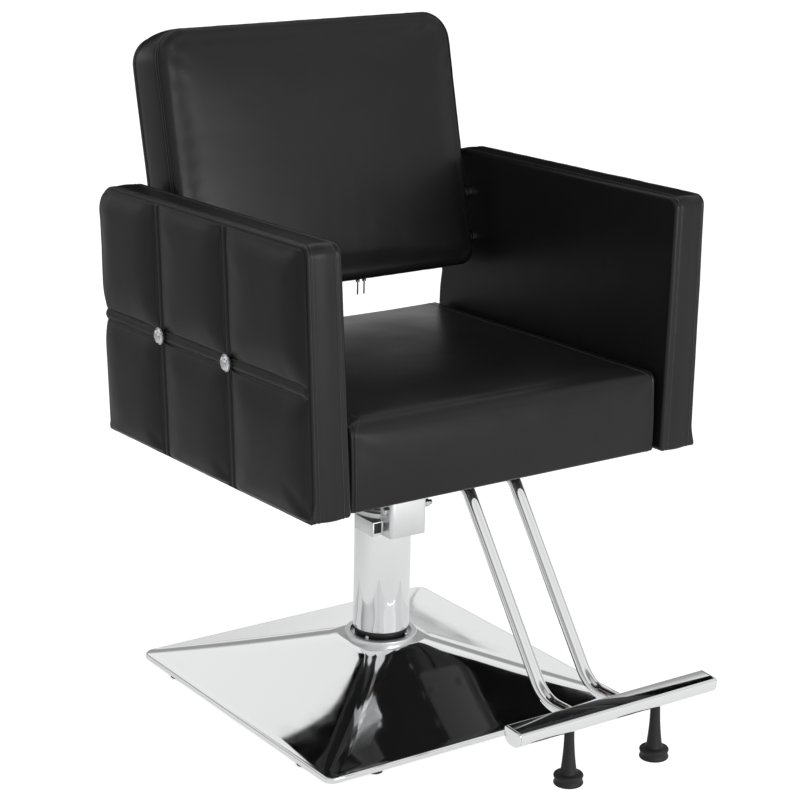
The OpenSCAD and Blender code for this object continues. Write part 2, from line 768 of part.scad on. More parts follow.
module seat_board() {
    color(wood) raked() difference() {
        translate([-seat_w / 2 + rail_w, seat_y + rail_w, seat_under_z])
            cube([seat_w - 2 * rail_w, seat_len - 2 * rail_w, rail_h]);
        for (x = [-1, 1], y = [-1, 1]) translate([x * bolt_place, y * bolt_place, seat_under_z - over])
            cylinder(h = rail_h + over, d = bolt_d, $fn = coarse);
        at_strap_bolts() translate([0, 0, -over]) cylinder(h = rail_h + over, d = bolt_d, $fn = coarse);
    }
}

// Grid of points on a rounded rectangle: the corner squares are drawn in to quarter circles
function drawn(p, q) = p * sqrt(1 - q * q / 2);
function round_at(s, t, a, b, r) = let (p = max(0, (abs(s) - a + r) / r),
    q = max(0, (abs(t) - b + r) / r))
    [sign(s) * (min(abs(s), a - r) + r * drawn(p, q)),
        sign(t) * (min(abs(t), b - r) + r * drawn(q, p))];
// Even shares from -1 to 1
function even(n) = [for (i = [0 : n]) 2 * i / n - 1];
// The walk round the edge of a grid of nu by nv points
function rim_walk(nu, nv) = concat([for (i = [0 : nu - 2]) [i, 0]],
    [for (j = [0 : nv - 2]) [nu - 1, j]],
    [for (i = [nu - 1 : -1 : 1]) [i, nv - 1]], [for (j = [nv - 1 : -1 : 1]) [0, j]]);
// Faces of a pad: the grid on top, rings round its sides, one flat face below
function pad_faces(nu, nv, rings) = let (walk = rim_walk(nu, nv), m = len(walk), n0 = nu * nv)
    concat(
        [for (i = [0 : nu - 2], j = [0 : nv - 2]) each [
            [i * nv + j, (i + 1) * nv + j + 1, (i + 1) * nv + j],
            [i * nv + j, i * nv + j + 1, (i + 1) * nv + j + 1]]],
        [for (k = [0 : rings - 1], e = [0 : m - 1]) let (f = (e + 1) % m,
            a = k == 0 ? walk[e].x * nv + walk[e].y : n0 + (k - 1) * m + e,
            b = k == 0 ? walk[f].x * nv + walk[f].y : n0 + (k - 1) * m + f,
            c = n0 + k * m + f, d = n0 + k * m + e) each [[a, b, c], [a, c, d]]],
        [[for (e = [0 : m - 1]) n0 + (rings - 1) * m + e]]);
// The same faces seen from the other side
function reversed(faces) = [for (f = faces) [for (k = [len(f) - 1 : -1 : 0]) f[k]]];

// The seat's cushion: a crowned top, rounded edges, and sides that swell and draw in at the rails
cushion_shares = even(18);
module seat_cushion() {
    a = seat_w / 2;
    b = seat_len / 2;
    e = seat_edge_r;
    n = len(cushion_shares);
    walk = rim_walk(n, n);
    function at(s, t, inset) = round_at(s * (a - inset), t * (b - inset), a - inset, b - inset,
        seat_corner_r - inset);
    function top(s, t) = seat_t + seat_crown * (1 - pow(abs(s), 4)) * (1 - pow(abs(t), 4));
    function ring(inset, z) = [for (w = walk)
        let (p = at(cushion_shares[w.x], cushion_shares[w.y], inset)) [p.x, p.y, z]];
    function edge(phi) = ring(e * (1 - sin(phi)), seat_t - e * (1 - cos(phi)));
    grid = [for (s = cushion_shares, t = cushion_shares) let (p = at(s, t, e)) [p.x, p.y, top(s, t)]];
    points = concat(grid, edge(30), edge(60), edge(90), ring(-seat_swell, seat_t / 2), ring(0, 0));
    color(leather) raked() translate([0, (seat_rear - seat_front) / 2, seat_under_z + rail_h])
        polyhedron(points = points, faces = pad_faces(n, n, 5));
}

// An arm's faces lean outward, and the arm thins towards its top
arm_gap = 1.1;
arm_in = seat_w / 2 + arm_gap;
function inner_x(z) = arm_in + arm_lean * (z - seat_under_z) / arm_h;
function outer_x(z) = arm_in + arm_t + (arm_lean - arm_taper) * (z - seat_under_z) / arm_h;
arm_mid_y = (arm_rear - arm_front) / 2;
arm_half = (arm_rear + arm_front) / 2;
arm_mid_z = seat_under_z + arm_h / 2;
// Corner radius for a point of the arm's side outline
function arm_corner(y, z) = z < 0 ? arm_low_r : y > 0 ? arm_rear_r : arm_front_r;
// The rear edge is pulled in where the level band is sewn
pull_in = 7;
pull_reach = 28;
least_r = 1;
function pinch(y, z) = y > 0 ? -pull_in * (y / arm_half)
    * exp(-pow((z + arm_mid_z - seat_under_z - band_z) / pull_reach, 2)) : 0;
function arm_side(s, t, inset) = let (a = arm_half - inset, b = arm_h / 2 - inset,
    p = round_at(s * a, t * b, a, b, max(arm_corner(s, t) - inset, least_r))) [p.x + pinch(p.x, p.y), p.y];
arm_y_shares = [-1, -0.985, -0.96, -0.92, -0.6, -0.2, 0.2, 0.6, 0.86, 0.93, 0.97, 1];
arm_z_shares = [-1, -0.985, -0.7, -0.4, -0.22, -0.13, -0.04, 0.05, 0.14, 0.4, 0.79, 0.88, 0.95, 1];
module arm_body(s) {
    nu = len(arm_y_shares);
    nv = len(arm_z_shares);
    walk = rim_walk(nu, nv);
    e = arm_edge_r;
    function inner(p, step) = [inner_x(p.y + arm_mid_z) + step, p.x + arm_mid_y, p.y + arm_mid_z];
    function outer(p, step) =
        [outer_x(p.y + arm_mid_z) - quilt_t - step, p.x + arm_mid_y, p.y + arm_mid_z];
    function round_rim(inset) = [for (w = walk) arm_side(arm_y_shares[w.x], arm_z_shares[w.y], inset)];
    function turn_in(phi) = [for (p = round_rim(e * (1 - sin(phi)))) inner(p, e * (1 - cos(phi)))];
    grid = [for (u = arm_y_shares, v = arm_z_shares) inner(arm_side(u, v, e), 0)];
    points = concat(grid, turn_in(30), turn_in(60), turn_in(90),
        [for (p = round_rim(0)) outer(p, e / 4)], [for (p = round_rim(e / 6)) outer(p, 0)]);
    color(leather) raked() mirror([s < 0 ? 1 : 0, 0, 0])
        polyhedron(points = points, faces = reversed(pad_faces(nu, nv, 5)));
}
module arm_body_left() arm_body(-1);
module arm_body_right() arm_body(1);

// The quilted panel: six puffs between two upright bands and one level band
band_half = band_w / 2;
function level(y) = y - arm_mid_y;
band_ys = [level(-band_front), level(band_rear)];
band_level = band_z + seat_under_z - arm_mid_z;
groove = 3.2;
puff_shares = [0.08, 0.25, 0.5, 0.75, 0.92];
function between(a, b) = [for (k = puff_shares) a + (b - a) * k];
function across_band(c) = [c - band_half, c - band_half + groove, c, c + band_half - groove, c + band_half];
quilt_ys = concat([-arm_half], between(-arm_half, band_ys[0] - band_half), across_band(band_ys[0]),
    between(band_ys[0] + band_half, band_ys[1] - band_half), across_band(band_ys[1]),
    between(band_ys[1] + band_half, arm_half), [arm_half]);
quilt_zs = concat([-arm_h / 2], between(-arm_h / 2, band_level - band_half), across_band(band_level),
    between(band_level + band_half, arm_h / 2), [arm_h / 2]);
// Share of a puff's height at a place between two sewn lines, and nothing on a line
function swell(x, a, b) = let (k = (x - a) / (b - a)) k <= 0 || k >= 1 ? 0 : pow(4 * k * (1 - k), 0.45);
function in_band(x, c) = abs(x - c) < band_half - gap;
function along_y(y) = y < band_ys[0] ? swell(y, -arm_half, band_ys[0] - band_half)
    : y < band_ys[1] ? swell(y, band_ys[0] + band_half, band_ys[1] - band_half)
    : swell(y, band_ys[1] + band_half, arm_half);
function along_z(z) = z < band_level ? swell(z, -arm_h / 2, band_level - band_half)
    : swell(z, band_level + band_half, arm_h / 2);
function strip(y, z) = in_band(y, band_ys[0]) || in_band(y, band_ys[1])
    || in_band(z, band_level) ? groove : 0;
function quilt_h(y, z) = let (k = along_y(y) * along_z(z))
    quilt_t - groove + max(puff_h * k + groove * min(1, 3 * k), strip(y, z));
module arm_pad(s) {
    nu = len(quilt_ys);
    nv = len(quilt_zs);
    walk = rim_walk(nu, nv);
    e = arm_edge_r / 6;
    function place(y, z, inset) = arm_side(y / arm_half, z / (arm_h / 2), inset);
    function outer(p, h) = [outer_x(p.y + arm_mid_z) - quilt_t + h, p.x + arm_mid_y, p.y + arm_mid_z];
    grid = [for (y = quilt_ys, z = quilt_zs) outer(place(y, z, e + quilt_t - groove), quilt_h(y, z))];
    low = [for (w = walk) outer(place(quilt_ys[w.x], quilt_zs[w.y], e), 0)];
    color(leather) raked() mirror([s < 0 ? 1 : 0, 0, 0])
        polyhedron(points = concat(grid, low), faces = pad_faces(nu, nv, 1));
}
module arm_pad_left() arm_pad(-1);
module arm_pad_right() arm_pad(1);

// A crystal button sits on each crossing of the bands
module at_buttons(s) {
    z = band_z + seat_under_z;
    raked() for (y = [-band_front, band_rear])
        translate([s * (outer_x(z) + gap), y, z]) rotate([0, s * 90, 0]) children();
}
cup_wall = 1.5;
cup_floor = cup_h * 2 / 3;
crystal_d = button_d - 2 * cup_wall - gap;
girdle_share = 0.35;
table_share = 0.45;
module button_cups(s) {
    color(chrome) at_buttons(s) difference() {
        cylinder(h = cup_h, d1 = crystal_d, d2 = button_d, $fn = coarse);
        translate([0, 0, cup_floor]) cylinder(h = cup_h, d = button_d - 2 * cup_wall, $fn = coarse);
    }
}
module button_cups_left() button_cups(-1);
module button_cups_right() button_cups(1);
module button_crystals(s) {
    girdle = crystal_h * girdle_share;
    color(crystal) at_buttons(s) translate([0, 0, cup_floor]) {
        cylinder(h = girdle, d = crystal_d, $fn = 12);
        translate([0, 0, girdle])
            cylinder(h = crystal_h - girdle, d1 = crystal_d, d2 = crystal_d * table_share, $fn = 12);
    }
}
module button_crystals_left() button_crystals(-1);
module button_crystals_right() button_crystals(1);

// A flat plate under each arm ties it to the seat's side rail
tie_w = 84;
tie_l = 170;
tie_t = 3;
tie_x = seat_w / 2 - rail_w;
tie_screw_x_shares = [0.16, 0.84];
tie_screw_y_shares = [-0.36, 0.36];
tie_screw_d = 12;
module arm_plate(s) {
    color(steel) raked()
        translate([s * tie_x - (s < 0 ? tie_w : 0), arm_mid_y - tie_l / 2, seat_under_z - tie_t])
            linear_extrude(height = tie_t) round_rect(tie_w, tie_l, bolt_d);
}
module arm_plate_left() arm_plate(-1);
module arm_plate_right() arm_plate(1);
module arm_screws() {
    color(steel) raked() for (s = [-1, 1], x = tie_screw_x_shares, y = tie_screw_y_shares)
        translate([s * (tie_x + x * tie_w), arm_mid_y + y * tie_l, seat_under_z - tie_t - washer_t])
            cylinder(h = washer_t, d1 = tie_screw_d - 2 * washer_t, d2 = tie_screw_d, $fn = coarse);
}

// The back leans between the arms: a wrapped board behind a boxed, crowned cushion
module on_back() {
    raked() translate([0, back_y, seat_under_z + back_z]) rotate([-back_lean, 0, 0]) children();
}
function back_corner(t) = t > 0 ? back_top_r : back_low_r;
back_row_shares = even(16);
back_col_shares = even(18);
side_shares = [0.3, 0.5, 0.8];
cushion_depth = back_t - back_board_t;
function back_at(s, t, inset) = let (a = back_w / 2 - inset, b = back_h / 2 - inset)
    round_at(s * a, t * b, a, b, back_corner(t) - inset);
module back_cushion() {
    nu = len(back_col_shares);
    nv = len(back_row_shares);
    walk = rim_walk(nu, nv);
    e = back_edge_r;
    d = cushion_depth;
    function crowned(s, t) = d + back_crown * (1 - pow(abs(s), 3)) * (1 - pow(abs(t), 3));
    function ring(inset, depth) = [for (k = walk)
        let (p = back_at(back_col_shares[k.x], back_row_shares[k.y], inset)) [p.x, -depth, p.y]];
    function edge(phi) = ring(e * (1 - sin(phi)), d - e * (1 - cos(phi)));
    grid = [for (s = back_col_shares, t = back_row_shares)
        let (p = back_at(s, t, e)) [p.x, -crowned(s, t), p.y]];
    sides = [for (k = side_shares) each ring(-back_swell * sin(180 * k), d * (1 - k))];
    points = concat(grid, edge(45), edge(90), sides, ring(0, 0));
    color(leather) on_back() translate([0, d, back_h / 2])
        polyhedron(points = points, faces = pad_faces(nu, nv, 3 + len(side_shares)));
}
module back_outline(inset) {
    w = back_w - 2 * inset;
    h = back_h - 2 * inset;
    top = back_top_r - inset;
    low = back_low_r - inset;
    translate([0, inset]) {
        translate([-w / 2 + top, 0]) square([w - 2 * top, h]);
        translate([-w / 2, low]) square([w, h - low - top]);
        for (s = [-1, 1]) {
            translate([s * (w / 2 - top), h - top]) circle(r = top, $fn = fine);
            translate([s * (w / 2 - low), low]) circle(r = low, $fn = fine);
            translate([s > 0 ? w / 2 - top - over : -w / 2 + low, 0]) square([top - low + over, h / 2]);
        }
    }
}
module back_board() {
    color(leather) on_back() translate([0, back_t, 0]) rotate([90, 0, 0])
        linear_extrude(height = back_board_t) back_outline(back_edge_r / 6);
}

// Round spacers with through bolts hold the back's sides to the arms
spacer_d = 22;
spacer_shares = [0.1, 0.28];
spacer_depth = cushion_depth / 2;
spacer_from = back_w / 2 + back_swell + gap;
module back_spacers(s) {
    color(steel) on_back() for (k = spacer_shares) {
        z = k * back_h;
        height = back_z + z * cos(back_lean) - spacer_depth * sin(back_lean);
        reach = inner_x(seat_under_z + height) - spacer_from - 2 * gap;
        translate([s * spacer_from, spacer_depth, z]) rotate([0, s * 90, 0])
            cylinder(h = reach, d = spacer_d, $fn = coarse);
    }
}
module back_spacers_left() back_spacers(-1);
module back_spacers_right() back_spacers(1);

// A zipper runs under the back, with two pulls that hang from its sliders
zip_w = 6;
zip_t = 1.2;
zip_len = back_w - 4 * back_low_r;
zip_y = cushion_depth - 2 * zip_w;
zip_drop_share = 0.65;
zip_z = -back_swell * zip_drop_share;
pull_w = 2.6;
pull_t = 1.2;
eye_d = 4.4;
hook_d = 1.6;
slider_h = 4;
hook_z = zip_z - zip_t - slider_h;
function pull_at(i) = pull_x + (i - 1 / 2) * pull_pitch;
module zipper() {
    color(black) on_back() {
        translate([-zip_len / 2, zip_y - zip_w / 2, zip_z - zip_t]) cube([zip_len, zip_w, zip_t]);
        for (i = [0, 1]) translate([pull_at(i), zip_y, 0]) {
            translate([-zip_w / 3, -zip_w / 2, zip_z - 2 * zip_t]) cube([2 * zip_w / 3, zip_w, zip_t]);
            for (s = [0, 1]) mirror([s, 0, 0]) translate([pull_w / 2 + gap, -hook_d, hook_z - hook_d])
                cube([pull_t, 2 * hook_d, slider_h + hook_d]);
            translate([-pull_w, 0, hook_z]) rotate([0, 90, 0])
                cylinder(h = 2 * pull_w, d = hook_d, $fn = coarse);
        }
    }
}
pull_tilt = rake + back_lean;
module zipper_pull(i) {
    color(chrome) on_back() translate([pull_at(i), zip_y, hook_z]) rotate([pull_tilt, 0, 0])
        difference() {
            union() {
                translate([-pull_w / 2, 0, 0]) rotate([0, 90, 0])
                    cylinder(h = pull_w, d = eye_d, $fn = coarse);
                translate([-pull_w / 2, -pull_t / 2, -pull_len]) cube([pull_w, pull_t, pull_len]);
            }
            translate([-pull_w, 0, 0]) rotate([0, 90, 0])
                cylinder(h = 2 * pull_w, d = hook_d + 2 * fit, $fn = coarse);
        }
}
module zipper_pull_left() zipper_pull(0);
module zipper_pull_right() zipper_pull(1);

base_plate();
base_glides();
base_stiffener();
pump_body();
pump_bolts();
collar_ring();
pump_sleeve();
pump_head();
head_plug();
cross_bolt();
gland_nut();
pedal_arm();
pedal_pad();
pedal_pin();
piston();
seat_bracket();
bracket_bolts();
footrest_bracket();
footrest_tube_left();
footrest_tube_right();
footrest_bar();
footrest_caps();
footrest_foot_left();
footrest_foot_right();
footrest_screws();
seat_board();
seat_rail_front();
seat_rail_rear();
seat_rail_left();
seat_rail_right();
seat_cushion();
arm_body_left();
arm_body_right();
arm_pad_left();
arm_pad_right();
button_cups_left();
button_cups_right();
button_crystals_left();
button_crystals_right();
arm_plate_left();
arm_plate_right();
arm_screws();
back_board();
back_cushion();
back_spacers_left();
back_spacers_right();
zipper();
zipper_pull_left();
zipper_pull_right();
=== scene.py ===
# %% [markdown]
# # A hairdressing chair, dressed in Blender
# The chair's rigid parts arrive as a imported model whose places and sizes are fixed. This lesson gives
# them their looks: it models the leather, the chrome and the stitches as pieces that lie exactly where
# the imported parts are, and it lights them as a studio would. Everything is in metres, Z points up and
# the chair faces -Y. The first cell loads the imported model.

# %% Load the imported chair
import json
import math

import bmesh
import bpy
import numpy as np
from mathutils import Matrix, Vector, kdtree, noise


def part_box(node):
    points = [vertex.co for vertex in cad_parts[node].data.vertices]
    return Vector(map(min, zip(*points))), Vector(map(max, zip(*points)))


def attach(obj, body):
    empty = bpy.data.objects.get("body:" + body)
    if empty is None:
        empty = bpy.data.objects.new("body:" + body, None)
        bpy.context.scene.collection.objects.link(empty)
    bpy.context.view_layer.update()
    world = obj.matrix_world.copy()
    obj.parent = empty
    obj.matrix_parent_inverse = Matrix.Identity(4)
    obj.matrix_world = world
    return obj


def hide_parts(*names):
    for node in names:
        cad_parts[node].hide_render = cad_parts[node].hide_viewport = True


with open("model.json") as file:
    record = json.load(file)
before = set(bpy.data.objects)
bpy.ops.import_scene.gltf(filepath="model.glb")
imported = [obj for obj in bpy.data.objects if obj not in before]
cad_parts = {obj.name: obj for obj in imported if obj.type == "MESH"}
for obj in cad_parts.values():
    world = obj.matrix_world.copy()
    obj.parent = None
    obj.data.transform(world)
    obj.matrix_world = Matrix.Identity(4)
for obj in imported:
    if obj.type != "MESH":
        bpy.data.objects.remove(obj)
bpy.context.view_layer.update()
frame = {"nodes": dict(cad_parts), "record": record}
MM = 0.001

# %% [markdown]
# ## The camera
# The view is worked out before anything else, because it says which surfaces matter most. The camera
# looks down at the chair's left front corner, from about half a metre above the top of its back. It is
# built from three directions: backwards out of the lens, to the right and up. A matrix whose columns are
# these directions places the camera without the guessing that Euler angles bring. A slight roll
# finishes it.

# %% Camera
EYE = Vector((-1.8807, -2.7131, 1.4555))
AZIMUTH = math.radians(-35.11)
ELEVATION = math.radians(16.826)
ROLL = math.radians(1.256)
LENS_MM = 103.85


def camera_matrix(eye, azimuth, elevation, roll):
    """Place of a camera at eye that looks against the direction of azimuth and elevation."""
    level = math.cos(elevation)
    back = Vector((math.sin(azimuth) * level, -math.cos(azimuth) * level, math.sin(elevation)))
    right = (-back).cross(Vector((0, 0, 1))).normalized()
    up = right.cross(-back).normalized()
    rolled_right = right * math.cos(roll) + up * math.sin(roll)
    rolled_up = up * math.cos(roll) - right * math.sin(roll)
    columns = Matrix((rolled_right, rolled_up, back)).transposed()
    return Matrix.Translation(eye) @ columns.to_4x4()


camera_data = bpy.data.cameras.new("photo_camera")
camera_data.lens = LENS_MM
camera_data.clip_end = 60
camera = bpy.data.objects.new("photo_camera", camera_data)
bpy.context.collection.objects.link(camera)
camera.matrix_world = camera_matrix(EYE, AZIMUTH, ELEVATION, ROLL)
bpy.context.scene.camera = camera
print("camera stands", round(EYE.length, 2), "m from the column's foot")

# %% [markdown]
# ## Building shaders from nodes
# A shader is a small network, and each one here starts from the Principled shader. Two helpers keep the
# material cells short: one adds a node and sets its options, and the other makes a soft noise that reads
# Object coordinates. Object coordinates keep a pattern at its real size on every piece, because all the
# pieces share one origin.

# %% Shader helpers
def start_material(name, color, roughness, metallic=0.0):
    """A material with a Principled shader, its node tree and that shader."""
    material = bpy.data.materials.new(name)
    material.use_nodes = True
    tree = material.node_tree
    shader = tree.nodes["Principled BSDF"]
    shader.inputs["Base Color"].default_value = (*color, 1)
    shader.inputs["Roughness"].default_value = roughness
    shader.inputs["Metallic"].default_value = metallic
    return material, tree, shader


def add_node(tree, kind, values=(), **options):
    """A new node with its options, and (socket, value) pairs set on its inputs."""
    node = tree.nodes.new(kind)
    for option, value in options.items():
        setattr(node, option, value)
    for socket, value in values:
        node.inputs[socket].default_value = value
    return node


def pattern(tree, kind, scale, stretch=(1, 1, 1), values=(), **options):
    """A texture on Object coordinates, with so many repeats to a metre."""
    place = add_node(tree, "ShaderNodeTexCoord")
    mapping = add_node(tree, "ShaderNodeMapping", [("Scale", stretch)])
    texture = add_node(tree, kind, [("Scale", scale), *values], **options)
    tree.links.new(place.outputs["Object"], mapping.inputs["Vector"])
    tree.links.new(mapping.outputs["Vector"], texture.inputs["Vector"])
    return texture


def spread(tree, source, low, high, start=0.3, end=0.7):
    """Maps a pattern's values between start and end to a range from low to high."""
    node = add_node(tree, "ShaderNodeMapRange", [
        ("From Min", start), ("From Max", end), ("To Min", low), ("To Max", high)])
    tree.links.new(source, node.inputs["Value"])
    return node.outputs["Result"]


def tint(tree, source, dark, pale):
    """Mixes two colours by a pattern."""
    node = add_node(tree, "ShaderNodeMix", data_type="RGBA")
    node.inputs[6].default_value = (*dark, 1)
    node.inputs[7].default_value = (*pale, 1)
    tree.links.new(source, node.inputs["Factor"])
    return node.outputs[2]


def bumps(tree, shader, layers):
    """Chains bump nodes: each layer is a height, its depth in metres and its strength."""
    last = None
    for height, depth, strength in layers:
        node = add_node(tree, "ShaderNodeBump", [("Distance", depth), ("Strength", strength)])
        tree.links.new(height, node.inputs["Height"])
        if last:
            tree.links.new(last.outputs["Normal"], node.inputs["Normal"])
        last = node
    tree.links.new(last.outputs["Normal"], shader.inputs["Normal"])


print("shader helpers are ready")

# %% [markdown]
# ## Leather
# The covers are a smooth black leatherette. Its colour is nearly black, so what the eye reads is the
# soft reflection of the studio. Three things make that reflection real: a pebble grain about a
# millimetre across, pores finer than the grain, and broad patches where the finish is more rubbed.
# Voronoi cells give the pebbles because they meet in creases, as grain does.

# %% Leather
def leather_material():
    material, tree, shader = start_material("black_leather", (0.009, 0.009, 0.0094), 0.34)
    shader.inputs["Specular IOR Level"].default_value = 0.27
    pebbles = pattern(tree, "ShaderNodeTexVoronoi", 880, feature="SMOOTH_F1")
    pores = pattern(tree, "ShaderNodeTexNoise", 2300, values=[("Detail", 3)])
    patches = pattern(tree, "ShaderNodeTexNoise", 14, values=[("Detail", 3)])
    tree.links.new(spread(tree, patches.outputs["Fac"], 0.31, 0.37), shader.inputs["Roughness"])
    tree.links.new(tint(tree, patches.outputs["Fac"], (0.008, 0.008, 0.0084), (0.0105, 0.0105, 0.011)),
                   shader.inputs["Base Color"])
    bumps(tree, shader, [
        (pebbles.outputs["Distance"], 0.00012, 0.3),
        (pores.outputs["Fac"], 0.00004, 0.3),
        (patches.outputs["Fac"], 0.0012, 0.12)])
    return material


def thread_material():
    """Waxed thread: a little paler than the leather, with its twist as a fine wave."""
    material, tree, shader = start_material("waxed_thread", (0.05, 0.05, 0.053), 0.5)
    shader.inputs["Sheen Weight"].default_value = 0.25
    twist = pattern(tree, "ShaderNodeTexWave", 900, values=[("Distortion", 1.5)])
    bumps(tree, shader, [(twist.outputs["Fac"], 0.00008, 0.5)])
    return material


leather = leather_material()
thread = thread_material()
print("leather and thread are ready")

# %% [markdown]
# ## Chrome and other metals
# Polished chrome has almost no colour of its own, so it is a bright metallic shader with a very low
# roughness. A faint smear pattern in the roughness stops it from looking like a drawn mirror. The cast
# head is satin metal with a fine sparkle, and the bolts are zinc plated, with a cloudy finish.

# %% Metals
def chrome_material():
    material, tree, shader = start_material("polished_chrome", (0.8, 0.805, 0.81), 0.045, 1.0)
    smears = pattern(tree, "ShaderNodeTexNoise", 26, values=[("Detail", 5), ("Roughness", 0.6)])
    waves = pattern(tree, "ShaderNodeTexNoise", 9, values=[("Detail", 1)])
    tree.links.new(spread(tree, smears.outputs["Fac"], 0.03, 0.075), shader.inputs["Roughness"])
    bumps(tree, shader, [(waves.outputs["Fac"], 0.0006, 0.1)])
    return material


def satin_material():
    material, tree, shader = start_material("satin_metal", (0.74, 0.745, 0.75), 0.34, 1.0)
    sparkle = pattern(tree, "ShaderNodeTexNoise", 1500, values=[("Detail", 2)])
    clouds = pattern(tree, "ShaderNodeTexNoise", 40, values=[("Detail", 3)])
    tree.links.new(spread(tree, clouds.outputs["Fac"], 0.3, 0.4), shader.inputs["Roughness"])
    bumps(tree, shader, [(sparkle.outputs["Fac"], 0.00005, 0.35)])
    return material


def zinc_material(name, dark, pale):
    """Plated steel with a cloudy finish."""
    material, tree, shader = start_material(name, pale, 0.3, 1.0)
    clouds = pattern(tree, "ShaderNodeTexNoise", 90, values=[("Detail", 4)])
    tree.links.new(tint(tree, clouds.outputs["Fac"], dark, pale), shader.inputs["Base Color"])
    tree.links.new(spread(tree, clouds.outputs["Fac"], 0.24, 0.4), shader.inputs["Roughness"])
    return material


chrome = chrome_material()
satin = satin_material()
zinc = zinc_material("zinc_plate", (0.44, 0.45, 0.47), (0.62, 0.63, 0.64))
black_zinc = zinc_material("black_zinc_plate", (0.03, 0.03, 0.032), (0.06, 0.06, 0.063))
print("metals are ready")

# %% [markdown]
# ## Paint, rubber, plastic and wood
# The unseen side of the chair needs finishes too, because the part is looked at from everywhere. Black
# paint gets the orange peel of a sprayed coat, rubber is dull with a dusty mottle, and the plywood board
# under the seat gets long grain from a noise that is stretched along the board.

# %% Paint, rubber, plastic and wood
def paint_material():
    material, tree, shader = start_material("black_paint", (0.014, 0.014, 0.015), 0.32)
    peel = pattern(tree, "ShaderNodeTexNoise", 420, values=[("Detail", 2)])
    bumps(tree, shader, [(peel.outputs["Fac"], 0.0001, 0.3)])
    return material


def plastic_material():
    material, tree, shader = start_material("black_plastic", (0.012, 0.012, 0.012), 0.5)
    spark = pattern(tree, "ShaderNodeTexVoronoi", 1600)
    bumps(tree, shader, [(spark.outputs["Distance"], 0.00006, 0.4)])
    return material


def rubber_material():
    material, tree, shader = start_material("grey_black_rubber", (0.013, 0.013, 0.0135), 0.55)
    shader.inputs["Specular IOR Level"].default_value = 0.3
    dust = pattern(tree, "ShaderNodeTexNoise", 160, values=[("Detail", 5)])
    tree.links.new(tint(tree, dust.outputs["Fac"], (0.01, 0.01, 0.0105), (0.017, 0.017, 0.0175)),
                   shader.inputs["Base Color"])
    tree.links.new(spread(tree, dust.outputs["Fac"], 0.48, 0.66), shader.inputs["Roughness"])
    bumps(tree, shader, [(dust.outputs["Fac"], 0.00008, 0.4)])
    return material


def plywood_material():
    material, tree, shader = start_material("raw_plywood", (0.48, 0.34, 0.2), 0.7)
    grain = pattern(tree, "ShaderNodeTexNoise", 30, (0.35, 6, 6), values=[("Detail", 6), ("Distortion", 0.6)])
    tree.links.new(tint(tree, grain.outputs["Fac"], (0.36, 0.23, 0.12), (0.6, 0.45, 0.28)),
                   shader.inputs["Base Color"])
    bumps(tree, shader, [(grain.outputs["Fac"], 0.0002, 0.3)])
    return material


paint = paint_material()
plastic = plastic_material()
rubber = rubber_material()
plywood = plywood_material()
print("paint, plastic, rubber and plywood are ready")

# %% [markdown]
# ## Crystal and lining
# The buttons' stones are cut glass over silver foil, so the shader is partly metal: it mirrors the room
# as foil does and lets some light through as glass does. The lining under the seat is a thin cloth
# pressed from fibres, so it is dull, with fibres drawn out along it and a grid of dimples. After these
# two, a table says which finish each packed slot gets.

# %% Crystal and lining
def crystal_material():
    """Cut glass over silver foil: sharp and bright, with the faintest blue tint."""
    material, tree, shader = start_material("cut_crystal", (0.95, 0.97, 0.99), 0.015, 0.55)
    shader.inputs["Transmission Weight"].default_value = 1.0
    shader.inputs["IOR"].default_value = 1.58
    haze = pattern(tree, "ShaderNodeTexNoise", 300, values=[("Detail", 2)])
    tree.links.new(spread(tree, haze.outputs["Fac"], 0.005, 0.04), shader.inputs["Roughness"])
    return material


def lining_material():
    """Thin black cloth pressed from fibres, with a grid of fine dimples."""
    material, tree, shader = start_material("black_lining", (0.011, 0.011, 0.012), 0.9)
    shader.inputs["Specular IOR Level"].default_value = 0.15
    shader.inputs["Sheen Weight"].default_value = 0.1
    fibres = pattern(tree, "ShaderNodeTexNoise", 700, (1, 0.25, 1), values=[("Detail", 5)])
    dimples = pattern(tree, "ShaderNodeTexVoronoi", 620, values=[("Randomness", 0.15)])
    tree.links.new(tint(tree, fibres.outputs["Fac"], (0.008, 0.008, 0.009), (0.016, 0.016, 0.017)),
                   shader.inputs["Base Color"])
    bumps(tree, shader, [(fibres.outputs["Fac"], 0.0001, 0.5), (dimples.outputs["Distance"], 0.0002, 0.4)])
    return material


lining = lining_material()
crystal = crystal_material()
FINISHES = {
    "bright": chrome, "satin": satin, "steel": zinc, "black_paint": paint, "black_plastic": plastic,
    "rubber": rubber, "plywood": plywood, "leather": leather, "crystal": crystal}
slot_of = {part["node"]: part["material_slot"] for part in frame["record"]["subparts"]}
body_of = {node: body for body, nodes in frame["record"]["behaviour"]["bodies"].items() for node in nodes}
print("finishes:", len(FINISHES), "for", len(slot_of), "nodes")

# %% [markdown]
# ## Meshes from numbers
# Most pieces below are grids or rings of points whose places follow a rule, so they are worked out as
# whole arrays and handed to Blender in one go. These helpers turn arrays into a mesh, read its points
# and normals back, press its surface in or out, and give smooth noise for the places where leather is
# never quite flat.

# %% Mesh helpers
def mesh_piece(name, points, faces):
    """A smooth mesh object whose faces point outwards."""
    mesh = bpy.data.meshes.new(name)
    mesh.from_pydata([tuple(p) for p in points], [], [tuple(f) for f in faces])
    shell = bmesh.new()
    shell.from_mesh(mesh)
    bmesh.ops.recalc_face_normals(shell, faces=shell.faces)
    shell.to_mesh(mesh)
    shell.free()
    mesh.polygons.foreach_set("use_smooth", [True] * len(mesh.polygons))
    piece = bpy.data.objects.new(name, mesh)
    bpy.context.collection.objects.link(piece)
    return piece


